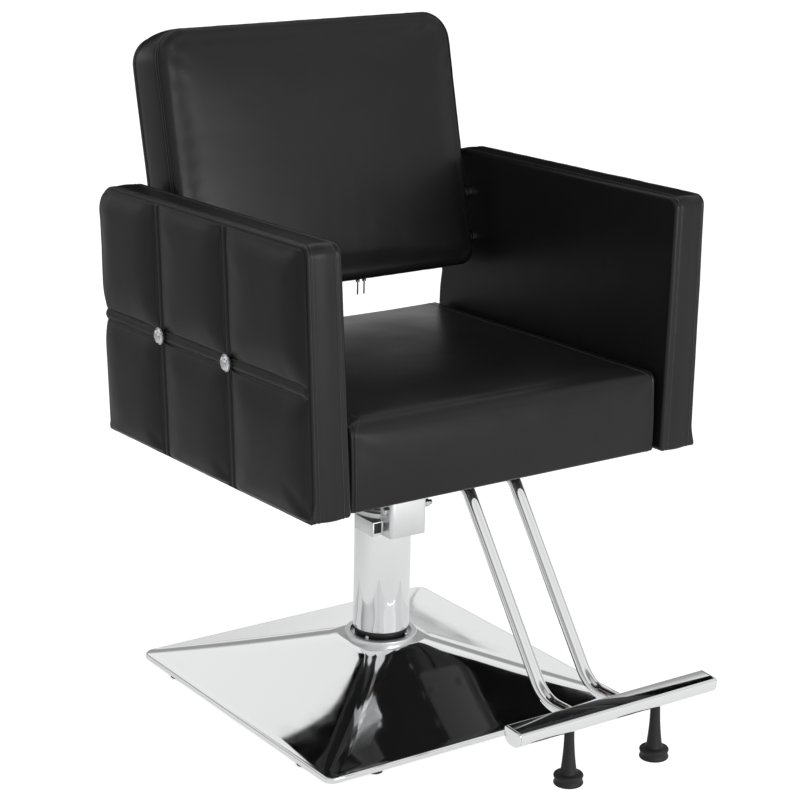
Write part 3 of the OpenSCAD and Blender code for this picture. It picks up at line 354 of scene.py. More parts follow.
def points_of(piece):
    places = np.empty(len(piece.data.vertices) * 3)
    piece.data.vertices.foreach_get("co", places)
    return places.reshape(-1, 3)


def set_points(piece, places):
    piece.data.vertices.foreach_set("co", np.asarray(places, dtype=float).ravel())
    piece.data.update()


def normals_of(piece):
    directions = np.empty(len(piece.data.vertices) * 3)
    piece.data.vertex_normals.foreach_get("vector", directions)
    return directions.reshape(-1, 3)


def press(piece, outward):
    """Moves each point along its normal by its own amount."""
    set_points(piece, points_of(piece) + normals_of(piece) * np.asarray(outward)[:, None])


def ripple(places, wavelength, seed):
    """Smooth noise between about -1 and 1 at each place, shifted by its own seed."""
    offset = Vector((seed * 7.31, seed * 3.17, seed * 5.73))
    return np.array([noise.noise(Vector(p) / wavelength + offset) for p in places])


print("mesh helpers are ready")

# %% [markdown]
# ## Finishing a piece
# A piece is built with live modifiers and finished without them. What they make becomes a plain mesh,
# points that no face uses are dropped, and then the piece gets its one material and the body that carries
# it, and the imported nodes that it stands for are hidden. Only then is it part of the chair.

# %% Finishing helpers
def bake(piece):
    """Applies what the modifiers make to the mesh and removes them."""
    graph = bpy.context.evaluated_depsgraph_get()
    made = bpy.data.meshes.new_from_object(piece.evaluated_get(graph))
    piece.modifiers.clear()
    piece.data = made
    return piece


def drop_loose(piece):
    """Removes points that no face uses."""
    shell = bmesh.new()
    shell.from_mesh(piece.data)
    bmesh.ops.delete(shell, geom=[v for v in shell.verts if not v.link_faces], context="VERTS")
    shell.to_mesh(piece.data)
    shell.free()


def dress(piece, finish, body, slot, *nodes):
    """Gives a piece its one material and its body, and hides the imported nodes that it stands for. slot is
    not used.
    """
    piece.data.materials.clear()
    piece.data.materials.append(finish)
    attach(piece, body)
    if nodes:
        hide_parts(*nodes)
    print(f"{piece.name}: {len(piece.data.polygons)} faces on {body}")
    return piece


def measure(*pieces):
    """Prints how wide, deep and high pieces are."""
    for piece in pieces:
        print(piece.name, "measures", [round(side / MM) for side in piece.dimensions], "mm")


print("finishing helpers are ready")

# %% [markdown]
# ## The lean of the seat unit
# The seat, arms, back and footrest lean back together by a small angle, about a point on the column's
# axis. Each of these pieces is easier to draw upright, so its points are worked out as if it stood
# straight, and one function leans them into place. The back leans further, by its own angle.

# %% Lean and rake
RAKE = math.radians(1.8)
RAKE_HEIGHT = 380 * MM
BACK_LEAN = math.radians(11.8)
BACK_FOOT = (118.7 * MM, 616 * MM)


def leaned(places, angle, foot=(0.0, 0.0)):
    """Turns points about a line along X so that what stands upright leans to the rear."""
    tipped = np.array(places, dtype=float)
    y = tipped[..., 1] - foot[0]
    z = tipped[..., 2] - foot[1]
    tipped[..., 1] = foot[0] + y * math.cos(angle) + z * math.sin(angle)
    tipped[..., 2] = foot[1] - y * math.sin(angle) + z * math.cos(angle)
    return tipped


def raked(places):
    return leaned(places, RAKE, (0.0, RAKE_HEIGHT))


def on_back(places):
    """Takes points of the back's own frame, whose origin is its lower front edge, into place."""
    stood = leaned(places, BACK_LEAN)
    stood[..., 1] += BACK_FOOT[0]
    stood[..., 2] += BACK_FOOT[1]
    return raked(stood)


print("a point 0.5 m up the back lies at", np.round(on_back([0, 0, 0.5]), 3))

# %% [markdown]
# ## Grid lines and round corners
# A cushion's face begins as a flat grid of points. Its lines are set closer together where a seam runs,
# so that a groove a millimetre wide has points to live on, and further apart elsewhere. The grid's corner
# squares are then drawn in to quarter circles, which rounds the outline and keeps every face four-sided.

# %% Grid lines and corners
def graded(low, high, stride, marks=(), fine=1.1 * MM, reach=8 * MM):
    """Places from low to high: a stride apart, closer near the marks, and one on each mark."""
    marks = sorted(m for m in marks if low < m < high)
    places = [low]
    while places[-1] < high - 1e-9:
        here = places[-1]
        near = min((max(0.0, abs(here - m) - reach) for m in marks), default=1.0)
        step = min(stride, fine + 0.5 * near)
        ahead = [m for m in marks + [high] if here + 1e-9 < m <= here + 1.3 * step]
        places.append(ahead[0] if ahead else here + step)
    return np.array(places)


def rounded(u, v, half_u, half_v, radius):
    """Draws the corner squares of a grid in to quarter circles."""
    p = np.clip((np.abs(u) - half_u + radius) / radius, 0, 1)
    q = np.clip((np.abs(v) - half_v + radius) / radius, 0, 1)
    x = np.minimum(np.abs(u), half_u - radius) + radius * p * np.sqrt(1 - q * q / 2)
    y = np.minimum(np.abs(v), half_v - radius) + radius * q * np.sqrt(1 - p * p / 2)
    return np.sign(u) * x, np.sign(v) * y


print("a 100 mm line with one seam gets", len(graded(0, 0.1, 8 * MM, [0.05])), "places")

# %% [markdown]
# ## A padded box
# The seat, the back and both arms are the same kind of thing: a box with one broad face in front, one
# behind, and a wrapped side between them that turns round soft corners. One class makes the skin of such
# a box. It lays the grid over the front face, runs rings down the sides by a profile of insets and
# depths, and closes the rear with a second grid. It also knows which points lie on one ring or on one
# line across the front, because that is where seams are pressed in and thread is sewn.

# %% Padded box
class PaddedBox:
    """The skin of a padded box: a front grid, rings round its sides and a rear grid."""

    def __init__(self, us, vs, corner, profile):
        self.us, self.vs = us, vs
        self.shape = (len(us), len(vs))
        self.rings = len(profile)
        across, up = (g.ravel() for g in np.meshgrid(us, vs, indexing="ij"))
        self.walk = self.edge_walk()
        edge_u, edge_v = across[self.walk], up[self.walk]
        blocks = [(across, up)] + [(edge_u, edge_v)] * (self.rings - 2) + [(across, up)]
        self.u = np.concatenate([b[0] for b in blocks])
        self.v = np.concatenate([b[1] for b in blocks])
        self.ring = np.concatenate([np.full(len(b[0]), k) for k, b in enumerate(blocks)])
        self.start = np.cumsum([0] + [len(b[0]) for b in blocks])
        self.inset = np.array([row[0] for row in profile])[self.ring]
        self.depth = np.array([row[1] for row in profile])[self.ring]
        self.half = (us[-1], vs[-1])
        half_u, half_v = us[-1] - self.inset, vs[-1] - self.inset
        radius = np.maximum(corner(self.u, self.v) - self.inset, 1 * MM)
        self.x, self.y = rounded(self.u * (1 - self.inset / us[-1]), self.v * (1 - self.inset / vs[-1]),
                                 half_u, half_v, radius)

    def edge_walk(self):
        """Indices of the grid's border, once round."""
        nu, nv = self.shape
        border = [(i, 0) for i in range(nu - 1)] + [(nu - 1, j) for j in range(nv - 1)]
        border += [(i, nv - 1) for i in range(nu - 1, 0, -1)] + [(0, j) for j in range(nv - 1, 0, -1)]
        return np.array([i * nv + j for i, j in border])

    def loop(self, ring):
        """Indices of one ring, once round the box."""
        if ring in (0, self.rings - 1):
            return self.walk + self.start[ring]
        return np.arange(self.start[ring], self.start[ring + 1])

    def line(self, i):
        """Indices of a line that runs over the front face and down both sides, at the i-th place across."""
        nv = self.shape[1]
        low = list(self.walk).index(i * nv)
        high = list(self.walk).index(i * nv + nv - 1)
        middle = range(1, self.rings - 1)
        down = [self.start[k] + low for k in reversed(middle)]
        face = [i * nv + j for j in range(nv)]
        return np.array(down + face + [self.start[k] + high for k in middle])

    def faces(self):
        nu, nv = self.shape
        grid = np.array([(i * nv + j, i * nv + j + 1, (i + 1) * nv + j + 1, (i + 1) * nv + j)
                         for i in range(nu - 1) for j in range(nv - 1)])
        rows = [grid, grid[:, ::-1] + self.start[self.rings - 1]]
        for k in range(self.rings - 1):
            a, b = self.loop(k), self.loop(k + 1)
            rows.append(np.stack([a, b, np.roll(b, -1), np.roll(a, -1)], axis=1))
        return np.concatenate(rows)

    def around(self):
        """A place on a circle for each point, in step with how far round the box it is."""
        a, b = self.half
        u, v = self.u, self.v
        right = np.abs(u) / a >= np.abs(v) / b
        length = np.where(right & (u > 0), v + b, np.where(
            ~right & (v > 0), 2 * b + a - u, np.where(right, 2 * b + 2 * a + b - v, 4 * b + 3 * a + u)))
        total = 4 * (a + b)
        angle = 2 * math.pi * length / total
        return np.stack([np.cos(angle), np.sin(angle), 0 * angle], axis=1) * total / (2 * math.pi)


sample_lines = np.linspace(-1, 1, 5)
sample = PaddedBox(sample_lines, sample_lines, lambda u, v: 0.2 + 0 * u, [(0, 0), (0, 1)])
print("a sample box of five by five lines has", len(sample.faces()), "faces")

# %% [markdown]
# ## Edges, crowns and seams
# Three small rules shape every cushion. Its edge rolls over in a quarter turn, its face crowns up from a
# level edge to a full middle, and each seam draws the leather in along a narrow groove. They are kept
# apart from the box, because each cushion mixes them in its own way.

# %% Edges, crowns and seams
CROWN_EASE = 1.4


def rolled_edge(radius, inset=0.0):
    """Rings of a quarter turn from a face down into the side below it."""
    steps = 9
    turn = [math.pi / 2 * k / steps for k in range(1, steps + 1)]
    return [(inset + radius * (1 - math.sin(a)), radius * (1 - math.cos(a))) for a in turn]


def crown_share(share, power):
    """A crown that is full in the middle and meets the edge level."""
    return (1 - np.clip(np.abs(share), 0, 1) ** power) ** CROWN_EASE


def groove(distance, depth, width):
    """How far a seam draws the leather in at a distance from it."""
    return -depth * np.exp(-(distance / width) ** 2)


print("half way out, a crown still has", round(float(crown_share(0.5, 5)), 2), "of its height")

# %% [markdown]
# ## Stitches
# A seam is a row of short thread lengths, each pulled into the leather at both ends. Modelling
# thousands of them by hand makes no sense, so a Geometry Nodes tree lays them: it turns a polyline into
# evenly spaced points, puts one small spindle on each along the line, and makes the copies real. Pitch,
# length, thickness and material are inputs of the tree, so every seam of the chair uses the same one.

# %% Stitch tree
STITCH_PITCH, STITCH_LENGTH, THREAD_T = 3.6 * MM, 2.9 * MM, 0.75 * MM


def stitch_tree():
    tree = bpy.data.node_groups.new("stitches_along", "GeometryNodeTree")
    tree.interface.new_socket("Geometry", in_out="INPUT", socket_type="NodeSocketGeometry")
    for title, size in (("Pitch", STITCH_PITCH), ("Length", STITCH_LENGTH), ("Thickness", THREAD_T)):
        socket = tree.interface.new_socket(title, in_out="INPUT", socket_type="NodeSocketFloat")
        socket.default_value = size
    tree.interface.new_socket("Finish", in_out="INPUT", socket_type="NodeSocketMaterial")
    tree.interface.new_socket("Geometry", in_out="OUTPUT", socket_type="NodeSocketGeometry")
    given = add_node(tree, "NodeGroupInput")
    result = add_node(tree, "NodeGroupOutput")
    curve = add_node(tree, "GeometryNodeMeshToCurve")
    places = add_node(tree, "GeometryNodeCurveToPoints", mode="LENGTH")
    ball = add_node(tree, "GeometryNodeMeshUVSphere", [("Segments", 6), ("Rings", 4), ("Radius", 0.5)])
    thread_size = add_node(tree, "ShaderNodeCombineXYZ")
    copies = add_node(tree, "GeometryNodeInstanceOnPoints")
    real = add_node(tree, "GeometryNodeRealizeInstances")
    soft = add_node(tree, "GeometryNodeSetShadeSmooth")
    finish = add_node(tree, "GeometryNodeSetMaterial")
    link = tree.links.new
    link(given.outputs["Geometry"], curve.inputs["Mesh"])
    link(curve.outputs["Curve"], places.inputs["Curve"])
    link(given.outputs["Pitch"], places.inputs["Length"])
    link(places.outputs["Points"], copies.inputs["Points"])
    link(ball.outputs["Mesh"], copies.inputs["Instance"])
    link(places.outputs["Rotation"], copies.inputs["Rotation"])
    link(given.outputs["Thickness"], thread_size.inputs["X"])
    link(given.outputs["Thickness"], thread_size.inputs["Y"])
    link(given.outputs["Length"], thread_size.inputs["Z"])
    link(thread_size.outputs["Vector"], copies.inputs["Scale"])
    link(copies.outputs["Instances"], real.inputs["Geometry"])
    link(real.outputs["Geometry"], soft.inputs["Geometry"])
    link(soft.outputs["Geometry"], finish.inputs["Geometry"])
    link(given.outputs["Finish"], finish.inputs["Material"])
    link(finish.outputs["Geometry"], result.inputs["Geometry"])
    return tree


STITCHES = stitch_tree()
print("stitch tree has", len(STITCHES.nodes), "nodes")

# %% [markdown]
# ## Sewing
# The tree needs a path to run along. A path is a list of places on the leather, mostly a piece's own
# points, so that the thread lies exactly on its surface. It becomes a mesh of edges with the tree as its
# modifier. The inputs are set by their identifiers before the modifier first runs, and then the result
# is made a plain mesh, because a piece has no live modifier left when it is given to its body.

# %% Sewing
def grown(name, paths, tree, inputs):
    """Runs a tree over polylines, each a list of places and whether it closes, and bakes the result."""
    places, edges = [], []
    for path, closed in paths:
        first = len(places)
        places += [tuple(p) for p in path]
        edges += [(k, k + 1) for k in range(first, len(places) - 1)]
        if closed:
            edges.append((len(places) - 1, first))
    mesh = bpy.data.meshes.new(name)
    mesh.from_pydata(places, edges, [])
    piece = bpy.data.objects.new(name, mesh)
    bpy.context.collection.objects.link(piece)
    modifier = piece.modifiers.new("rule", "NODES")
    modifier.node_group = tree
    titles = {item.name: item.identifier for item in tree.interface.items_tree if item.in_out == "INPUT"}
    for title, value in inputs.items():
        modifier[titles[title]] = value
    return bake(piece)


def sew(name, paths, pitch=STITCH_PITCH, length=STITCH_LENGTH, thickness=THREAD_T, finish=thread,
        slot="leather"):
    """Sews rows of stitches along paths that lie on the leather, or staples along a cloth's edge."""
    piece = grown(name, paths, STITCHES, {
        "Pitch": pitch, "Length": length, "Thickness": thickness, "Finish": finish})
    return dress(piece, finish, "seat", slot)


def rows_on(piece, loops, closed=True):
    """Paths for stitches along rows of a piece's points, just above its surface."""
    lift = 0.15 * MM
    places, out = points_of(piece), normals_of(piece)
    return [(places[loop] + out[loop] * lift, closed) for loop in loops]


print("a stitch is", round(STITCH_LENGTH / MM, 1), "mm long, and the next starts after",
      round(STITCH_PITCH / MM, 1), "mm")

# %% [markdown]
# ## Swelling the foam
# Foam under a tight cover pushes outwards wherever no seam holds it. Blender's Cloth does the same with
# pressure. An even copy of the cover is made from small voxels, the places that a seam or a board holds
# are pinned, and for twenty frames the pressure blows the rest up, with no gravity. Voxels would erase the
# seams, so the copy itself isn't kept. What is kept is how far each place moved, eased off towards a cap,
# and the finely drawn cover is moved by that much before its seams are pressed in. Everything starts from
# the same numbers, so the result is the same each time.

# %% Cloth
FOAM_FRAMES = 20
FOAM_PRESSURE = 4.0
NEAR_PLACES = 8


def even_copy(piece, voxel):
    """A closed copy of a cover in small faces of one size."""
    form = bpy.data.objects.new(f"{piece.name}_form", piece.data.copy())
    bpy.context.collection.objects.link(form)
    mesher = form.modifiers.new("even", "REMESH")
    mesher.mode = "VOXEL"
    mesher.voxel_size = voxel
    return bake(form)


def tree_of(places):
    """A search tree over places."""
    tree = kdtree.KDTree(len(places))
    for k, place in enumerate(places):
        tree.insert(place, k)
    tree.balance()
    return tree


def blown_up(form, weights):
    """Runs Cloth on a form whose weights pin it, and gives its new places."""
    pins = form.vertex_groups.new(name="pins")
    for k in np.flatnonzero(weights > 0):
        pins.add([int(k)], float(weights[k]), "REPLACE")
    cloth = form.modifiers.new("foam", "CLOTH")
    cloth.settings.quality = 5
    cloth.settings.use_pressure = True
    cloth.settings.uniform_pressure_force = FOAM_PRESSURE
    cloth.settings.effector_weights.gravity = 0
    cloth.settings.vertex_group_mass = "pins"
    cloth.point_cache.frame_end = FOAM_FRAMES
    for step in range(1, FOAM_FRAMES + 1):
        bpy.context.scene.frame_set(step)
    bake(form)
    bpy.context.scene.frame_set(1)
    return points_of(form)


def swell(piece, pinned, cap, voxel=7 * MM):
    """How far foam moves each point of a cover. A pinned point stays, and none moves further than cap."""
    move = np.zeros((len(pinned), 3))
    cover = points_of(piece)
    form = even_copy(piece, voxel)
    start = points_of(form)
    nearest = tree_of(cover)
    weights = np.array([float(pinned[nearest.find(place)[1]]) for place in start])
    shift = blown_up(form, weights) - start
    far = np.linalg.norm(shift, axis=1)[:, None] + 1e-9
    shift *= cap * np.tanh(far / cap) / far
    around = tree_of(start)
    for k in np.flatnonzero(~pinned):
        found = around.find_n(cover[k], NEAR_PLACES)
        share = np.array([math.exp(-(distance / voxel) ** 2) for _, _, distance in found])
        move[k] = share @ shift[[index for _, index, _ in found]] / share.sum()
    bpy.data.objects.remove(form)
    furthest = float(np.linalg.norm(move, axis=1).max() / MM)
    print(f"{piece.name}: foam moved it by up to", round(furthest, 1), "mm")
    return move


print("foam swells with", "Cloth")

# %% [markdown]
# ## The seat
# The seat is one thick foam block. On the real chair a single sheet of leather runs over the top and
# down the front, and a separate strip covers each side, so a seam follows each side edge from the
# bottom of the front face, over the rolled edge and back along the top. The cover is a padded box whose
# seams are pressed in along its normals, with small puckers across them where the thread pulls. Its
# underside is turned in round a plywood board.

# %% Seat cover
SEAT_HALF_W = 268.5 * MM
SEAT_FRONT_Y, SEAT_REAR_Y = -308 * MM, 240 * MM
SEAT_SEAM_Z = 531 * MM
SEAT_DEPTH = 123 * MM
SEAT_ROLL = 19 * MM
SEAT_CROWN = 10 * MM
SEAT_CORNER_R, SEAT_LOW_R = 12 * MM, 5 * MM
SEAT_BULGE = 1.2 * MM
SEAT_FOAM = 4.5 * MM
SEAT_SEAM_X = SEAT_HALF_W - 9.5 * MM
SEAT_HEM = 6.5 * MM
RAIL_H, RAIL_W = 18 * MM, 38 * MM


def seat_profile():
    steps = 14
    side = [k * (SEAT_DEPTH - SEAT_ROLL - SEAT_LOW_R) / steps for k in range(1, steps + 1)]
    bulge = [(-SEAT_BULGE * math.sin(math.pi * s / side[-1]) ** 0.8 if s < side[-1] else 0, SEAT_ROLL + s)
             for s in side]
    low = [(SEAT_LOW_R * (1 - math.cos(a)), SEAT_DEPTH - SEAT_LOW_R * (1 - math.sin(a)))
           for a in (math.pi / 8, math.pi / 4, 3 * math.pi / 8, math.pi / 2)]
    under = [(RAIL_W / 2, SEAT_DEPTH), (RAIL_W, SEAT_DEPTH), (RAIL_W, SEAT_DEPTH - 4 * MM),
             (RAIL_W, SEAT_DEPTH - RAIL_H)]
    inner = [(RAIL_W + 1 * MM, SEAT_DEPTH - RAIL_H)]
    return [(SEAT_ROLL, 0)] + rolled_edge(SEAT_ROLL) + bulge + low + under + inner


def make_seat():
    half_y = (SEAT_REAR_Y - SEAT_FRONT_Y) / 2
    us = graded(-SEAT_HALF_W, SEAT_HALF_W, 9 * MM, [-SEAT_SEAM_X, SEAT_SEAM_X], reach=9 * MM)
    vs = graded(-half_y, half_y, 9 * MM, [-half_y + 6 * MM, half_y - 6 * MM], fine=1.6 * MM, reach=9 * MM)
    box = PaddedBox(us, vs, lambda u, v: np.full_like(u, SEAT_CORNER_R), seat_profile())
    full = crown_share(box.u / us[-1], 5) * crown_share(box.v / vs[-1], 5)
    top = np.where(box.ring == 0, SEAT_CROWN * full, 0)
    z = SEAT_SEAM_Z - box.depth + top
    straight = np.stack([box.x, box.y + (SEAT_REAR_Y + SEAT_FRONT_Y) / 2, z], axis=1)
    piece = mesh_piece("seat_cover", raked(straight), box.faces())
    from_seam = np.abs(straight[:, 0]) - SEAT_SEAM_X
    along = np.stack([0 * z, straight[:, 1] - z, 0 * z], axis=1)
    outside = (box.depth < SEAT_DEPTH - 1 * MM) & (box.ring < box.rings - 4)
    foam = outside & (from_seam < -2 * MM)
    foam &= (straight[:, 1] < SEAT_REAR_Y - 12 * MM) & (box.depth < SEAT_DEPTH - 9 * MM)
    set_points(piece, points_of(piece) + swell(piece, ~foam, SEAT_FOAM))
    pull = groove(from_seam, 1.5 * MM, 1.4 * MM) + groove(from_seam - SEAT_HEM, 0.9 * MM, 1.3 * MM)
    welt = 0.7 * MM * np.exp(-((from_seam - 3.2 * MM) / (2.2 * MM)) ** 2)
    pucker = welt + 0.5 * MM * np.exp(-np.abs(from_seam) / (6 * MM)) * ripple(along, 11 * MM, 1)
    soft = 0.5 * MM * ripple(straight, 85 * MM, 2) + 0.12 * MM * ripple(straight, 28 * MM, 3)
    press(piece, np.where(outside, pull + pucker + soft, 0))
    dress(piece, leather, "seat", "leather", "seat_cushion", "seat_rail_front", "seat_rail_rear",
          "seat_rail_left", "seat_rail_right")
    rows = []
    for side in (-1, 1):
        i = int(np.argmin(np.abs(us - side * (SEAT_SEAM_X - 3 * MM))))
        rows.append(box.line(i)[4:-4])
    sew("seat_seam_stitches", rows_on(piece, rows, closed=False))
    return piece


seat_cover = make_seat()
measure(seat_cover)

# %% [markdown]
# ## The dust cover
# An upholsterer staples a thin black cloth under the seat board, which hides the raw plywood and the
# turned-in leather. It is cut out round the column's bracket and the footrest's clamp. A grid of points
# does for it: the cells inside the cuts are left out, the free parts sag by a millimetre, and Solidify
# gives the cloth its thickness.

# %% Dust cover
COVER_X, COVER_Y = 230.2 * MM, (-280 * MM, 212 * MM)
COVER_Z = 407.8 * MM
COVER_T = 0.3 * MM
# Each cut's half width along X, and its front and rear ends, in millimetres
CUTS = [(97, -97, 97), (85, -223, -145), (52, -262, -223)]


def in_cut(x, y, margin=0.0):
    """Whether a place lies in one of the cuts, or within a margin of it."""
    return any(abs(x) < half * MM + margin and low * MM - margin < y < high * MM + margin
               for half, low, high in CUTS)


def make_dust_cover():
    sides = [s * half * MM for half, _, _ in CUTS for s in (-1, 1)]
    ends = sorted({end * MM for _, *pair in CUTS for end in pair})
    us = graded(-COVER_X, COVER_X, 11 * MM, sides, 4 * MM, 2 * MM)
    vs = graded(*COVER_Y, 11 * MM, ends, 4 * MM, 2 * MM)
    x, y = (g.ravel() for g in np.meshgrid(us, vs, indexing="ij"))
    edge = np.minimum(COVER_X - np.abs(x), np.minimum(y - COVER_Y[0], COVER_Y[1] - y))
    free = np.clip(edge / (60 * MM), 0, 1) * np.array([not in_cut(*p, margin=12 * MM) for p in zip(x, y)])
    flat = np.stack([x, y, 0 * x], axis=1)
    sag = free * (0.6 * MM + 0.5 * MM * ripple(flat, 45 * MM, 13))
    n = len(vs)
    faces = [(i * n + j, (i + 1) * n + j, (i + 1) * n + j + 1, i * n + j + 1)
             for i in range(len(us) - 1) for j in range(n - 1)
             if not in_cut((us[i] + us[i + 1]) / 2, (vs[j] + vs[j + 1]) / 2)]
    piece = mesh_piece("seat_dust_cover", raked(np.stack([x, y, COVER_Z - sag], axis=1)), faces)
    drop_loose(piece)
    wall = piece.modifiers.new("cloth", "SOLIDIFY")
    wall.thickness = COVER_T
    wall.offset = 0
    bake(piece)
    dress(piece, lining, "seat", "black_plastic")
    inset = 5 * MM
    corners = [(-1, 0), (1, 0), (1, 1), (-1, 1)]
    path = [(side * (COVER_X - inset), COVER_Y[end] + inset * (1 - 2 * end), COVER_Z - 0.5 * MM)
            for side, end in corners]
    sew("dust_cover_staples", [(raked(path), True)], pitch=42 * MM, length=10 * MM, thickness=1.0 * MM,
        finish=zinc, slot="steel")
    return piece


dust_cover = make_dust_cover()
measure(dust_cover)

# %% [markdown]
# ## The back
# The back is a boxed cushion too: a front panel that rolls over its edge, a strip of leather round the
# sides, and a twin-needle seam where they meet. It is drawn in its own frame, with the crown towards
# the sitter, and then leaned into place. The puckers follow the seam round the box, so their noise is
# read on a circle whose length is the seam's length, which lets it close without a jump.

# %% Back cushion
BACK_HALF_W = 258 * MM
BACK_H = 395 * MM
BACK_CUSHION_D = 86 * MM
BACK_BOARD_D = 12 * MM
BACK_TOP_R, BACK_LOW_R = 45 * MM, 22 * MM
BACK_ROLL = 11 * MM
BACK_CROWN = 9 * MM
BACK_FOAM = 4 * MM
BACK_SWELL = 3 * MM
BACK_SEAM_D, BACK_REAR_SEAM_D = 15 * MM, 81 * MM
BACK_STITCH_D = (12.5 * MM, 17.5 * MM)


def back_corner(u, v):
    return np.where(v > 0, BACK_TOP_R, BACK_LOW_R)


def back_profile():
    seam = [d * MM for d in (12.5, 14, 15, 16, 17.5, 19, 20, 21, 23, 27)]
    strip = [d * MM for d in (33, 40, 47, 54, 61, 68, 74, 79, 82)]
    sides = [(-BACK_SWELL * math.sin(math.pi * d / BACK_CUSHION_D), d) for d in seam + strip]
    rear = [(0.2 * MM, 84 * MM), (1.2 * MM, 85.4 * MM), (3 * MM, BACK_CUSHION_D)]
    edge = rolled_edge(BACK_ROLL, inset=-0.5 * MM)
    return [(BACK_ROLL, 0)] + edge + sides + rear + [(5 * MM, BACK_CUSHION_D)]


def make_back():
    near_u, near_v = BACK_HALF_W - 1 * MM, BACK_H / 2 - 1 * MM
    us = graded(-BACK_HALF_W, BACK_HALF_W, 8 * MM, [-near_u, near_u], 4 * MM, 30 * MM)
    vs = graded(-BACK_H / 2, BACK_H / 2, 8 * MM, [-near_v, near_v], 4 * MM, 30 * MM)
    profile = back_profile()
    box = PaddedBox(us, vs, back_corner, profile)
    crown = BACK_CROWN * crown_share(box.u / us[-1], 4) * crown_share(box.v / vs[-1], 4)
    depth = np.where(box.ring == 0, -crown, box.depth)
    local = np.stack([box.x, depth, box.y + BACK_H / 2], axis=1)
    piece = mesh_piece("back_cushion_cover", on_back(local), box.faces())
    set_points(piece, points_of(piece) + swell(piece, (box.ring > 0) & (box.depth > 8 * MM), BACK_FOAM))
    first = groove(box.depth - BACK_SEAM_D, 1.3 * MM, 1.3 * MM)
    second = groove(box.depth - BACK_SEAM_D - 5 * MM, 0.5 * MM, 1.2 * MM)
    rear = groove(box.depth - BACK_REAR_SEAM_D, 0.8 * MM, 1.5 * MM)
    seam = np.where((box.ring > 0) & (box.ring < box.rings - 1), first + second + rear, 0)
    near = np.where(box.ring == 0, 9 * MM, np.abs(box.depth - BACK_SEAM_D - 2.5 * MM))
    pucker = 0.5 * MM * np.exp(-near / (7 * MM)) * ripple(box.around(), 13 * MM, 4)
    soft = 0.6 * MM * ripple(local, 90 * MM, 5) + 0.12 * MM * ripple(local, 30 * MM, 6)
    press(piece, np.where(box.ring < box.rings - 2, seam + pucker + soft, 0))
    dress(piece, leather, "seat", "leather", "back_cushion")
    rings = [k for k, row in enumerate(profile) if row[1] in BACK_STITCH_D]
    sew("back_seam_stitches", rows_on(piece, [box.loop(k) for k in rings]))
    return piece


back_cushion = make_back()
measure(back_cushion)

# %% [markdown]
# ## The back's board
# Behind the cushion lies a board covered in the same leather, a hair smaller all round, with a small
# round on its edges. It is a thin padded box without a crown, so the same class makes it.

# %% Back board
def make_back_board():
    half_w, half_h = BACK_HALF_W - 1 * MM, BACK_H / 2 - 1 * MM
    us = graded(-half_w, half_w, 16 * MM, [1 * MM - half_w, half_w - 1 * MM], 5 * MM, 30 * MM)
    vs = graded(-half_h, half_h, 16 * MM, [1 * MM - half_h, half_h - 1 * MM], 5 * MM, 30 * MM)
    front = [(2.5 * MM, 0)] + [(2.5 * MM * (1 - math.sin(a)), 2.5 * MM * (1 - math.cos(a)))
                               for a in (0.5, 1.05, math.pi / 2)]
    rear = [(3.5 * MM * (1 - math.cos(a)), BACK_BOARD_D - 3.5 * MM * (1 - math.sin(a)))
            for a in (0, 0.4, 0.8, 1.2, math.pi / 2)]
    box = PaddedBox(us, vs, lambda u, v: back_corner(u, v) - 1 * MM, front + rear + [(12 * MM, BACK_BOARD_D)])
    local = np.stack([box.x, box.depth + BACK_CUSHION_D, box.y + BACK_H / 2], axis=1)
    piece = mesh_piece("back_board_cover", on_back(local), box.faces())
    soft = 0.35 * MM * ripple(local, 60 * MM, 7) - 0.35 * MM
    press(piece, np.where(box.ring > 3, soft, 0))
    return dress(piece, leather, "seat", "leather", "back_board")


back_board = make_back_board()
measure(back_board)

# %% [markdown]
# ## The arms
# An arm is the padded box that needs most skill. Its outer face is quilted: two upright bands and one
# level band are sewn into it, and the foam swells into six puffs between them. The height of every
# point follows from its distance to the nearest sewn line: steep beside the line, then nearly flat. A
# band draws narrower towards the crystal button at its crossing. The rear edge is pulled in where the
# level band ends. The inner face is plain, and the two arms are mirror images.

# %% Arm outline and thickness
ARM_FRONT_Y, ARM_REAR_Y = -319 * MM, 246 * MM
ARM_FOOT_Z = 408 * MM
ARM_H = 373 * MM
ARM_IN_X = 269.6 * MM
ARM_T = 63 * MM
ARM_LEAN, ARM_TAPER = 14 * MM, 4.7 * MM
ARM_MID_Y = (ARM_FRONT_Y + ARM_REAR_Y) / 2
ARM_HALF_Y = (ARM_REAR_Y - ARM_FRONT_Y) / 2
FRONT_R, REAR_R, FOOT_R = 16 * MM, 40 * MM, 4.5 * MM
UPRIGHT_HALF, LEVEL_HALF = 7.0 * MM, 8.4 * MM
BANDS_U = (-115 * MM - ARM_MID_Y, 70 * MM - ARM_MID_Y)
BAND_V = 179 * MM - ARM_H / 2
PUFF_H, BAND_H = 6 * MM, 3.0 * MM
ARM_FOAM = 2.5 * MM


def inner_x(height):
    return ARM_IN_X + ARM_LEAN * height / ARM_H


def outer_x(height):
    return ARM_IN_X + ARM_T + (ARM_LEAN - ARM_TAPER) * height / ARM_H


def arm_corner(u, v):
    return np.where(v < 0, FOOT_R, np.where(u > 0, REAR_R, FRONT_R))


def pinched(u, v):
    """How far the rear edge is drawn forward: two notches, with the band's own bulge between them."""
    off = (v - BAND_V) / MM
    pull = 5 * np.exp(-(off / 26) ** 2) - 2.2 * np.exp(-(off / 5) ** 2)
    return np.where(u > 0, -pull * MM * (u / ARM_HALF_Y) ** 3, 0)


print("arm:", round(float(2 * ARM_HALF_Y), 3), "long,", ARM_H, "high")

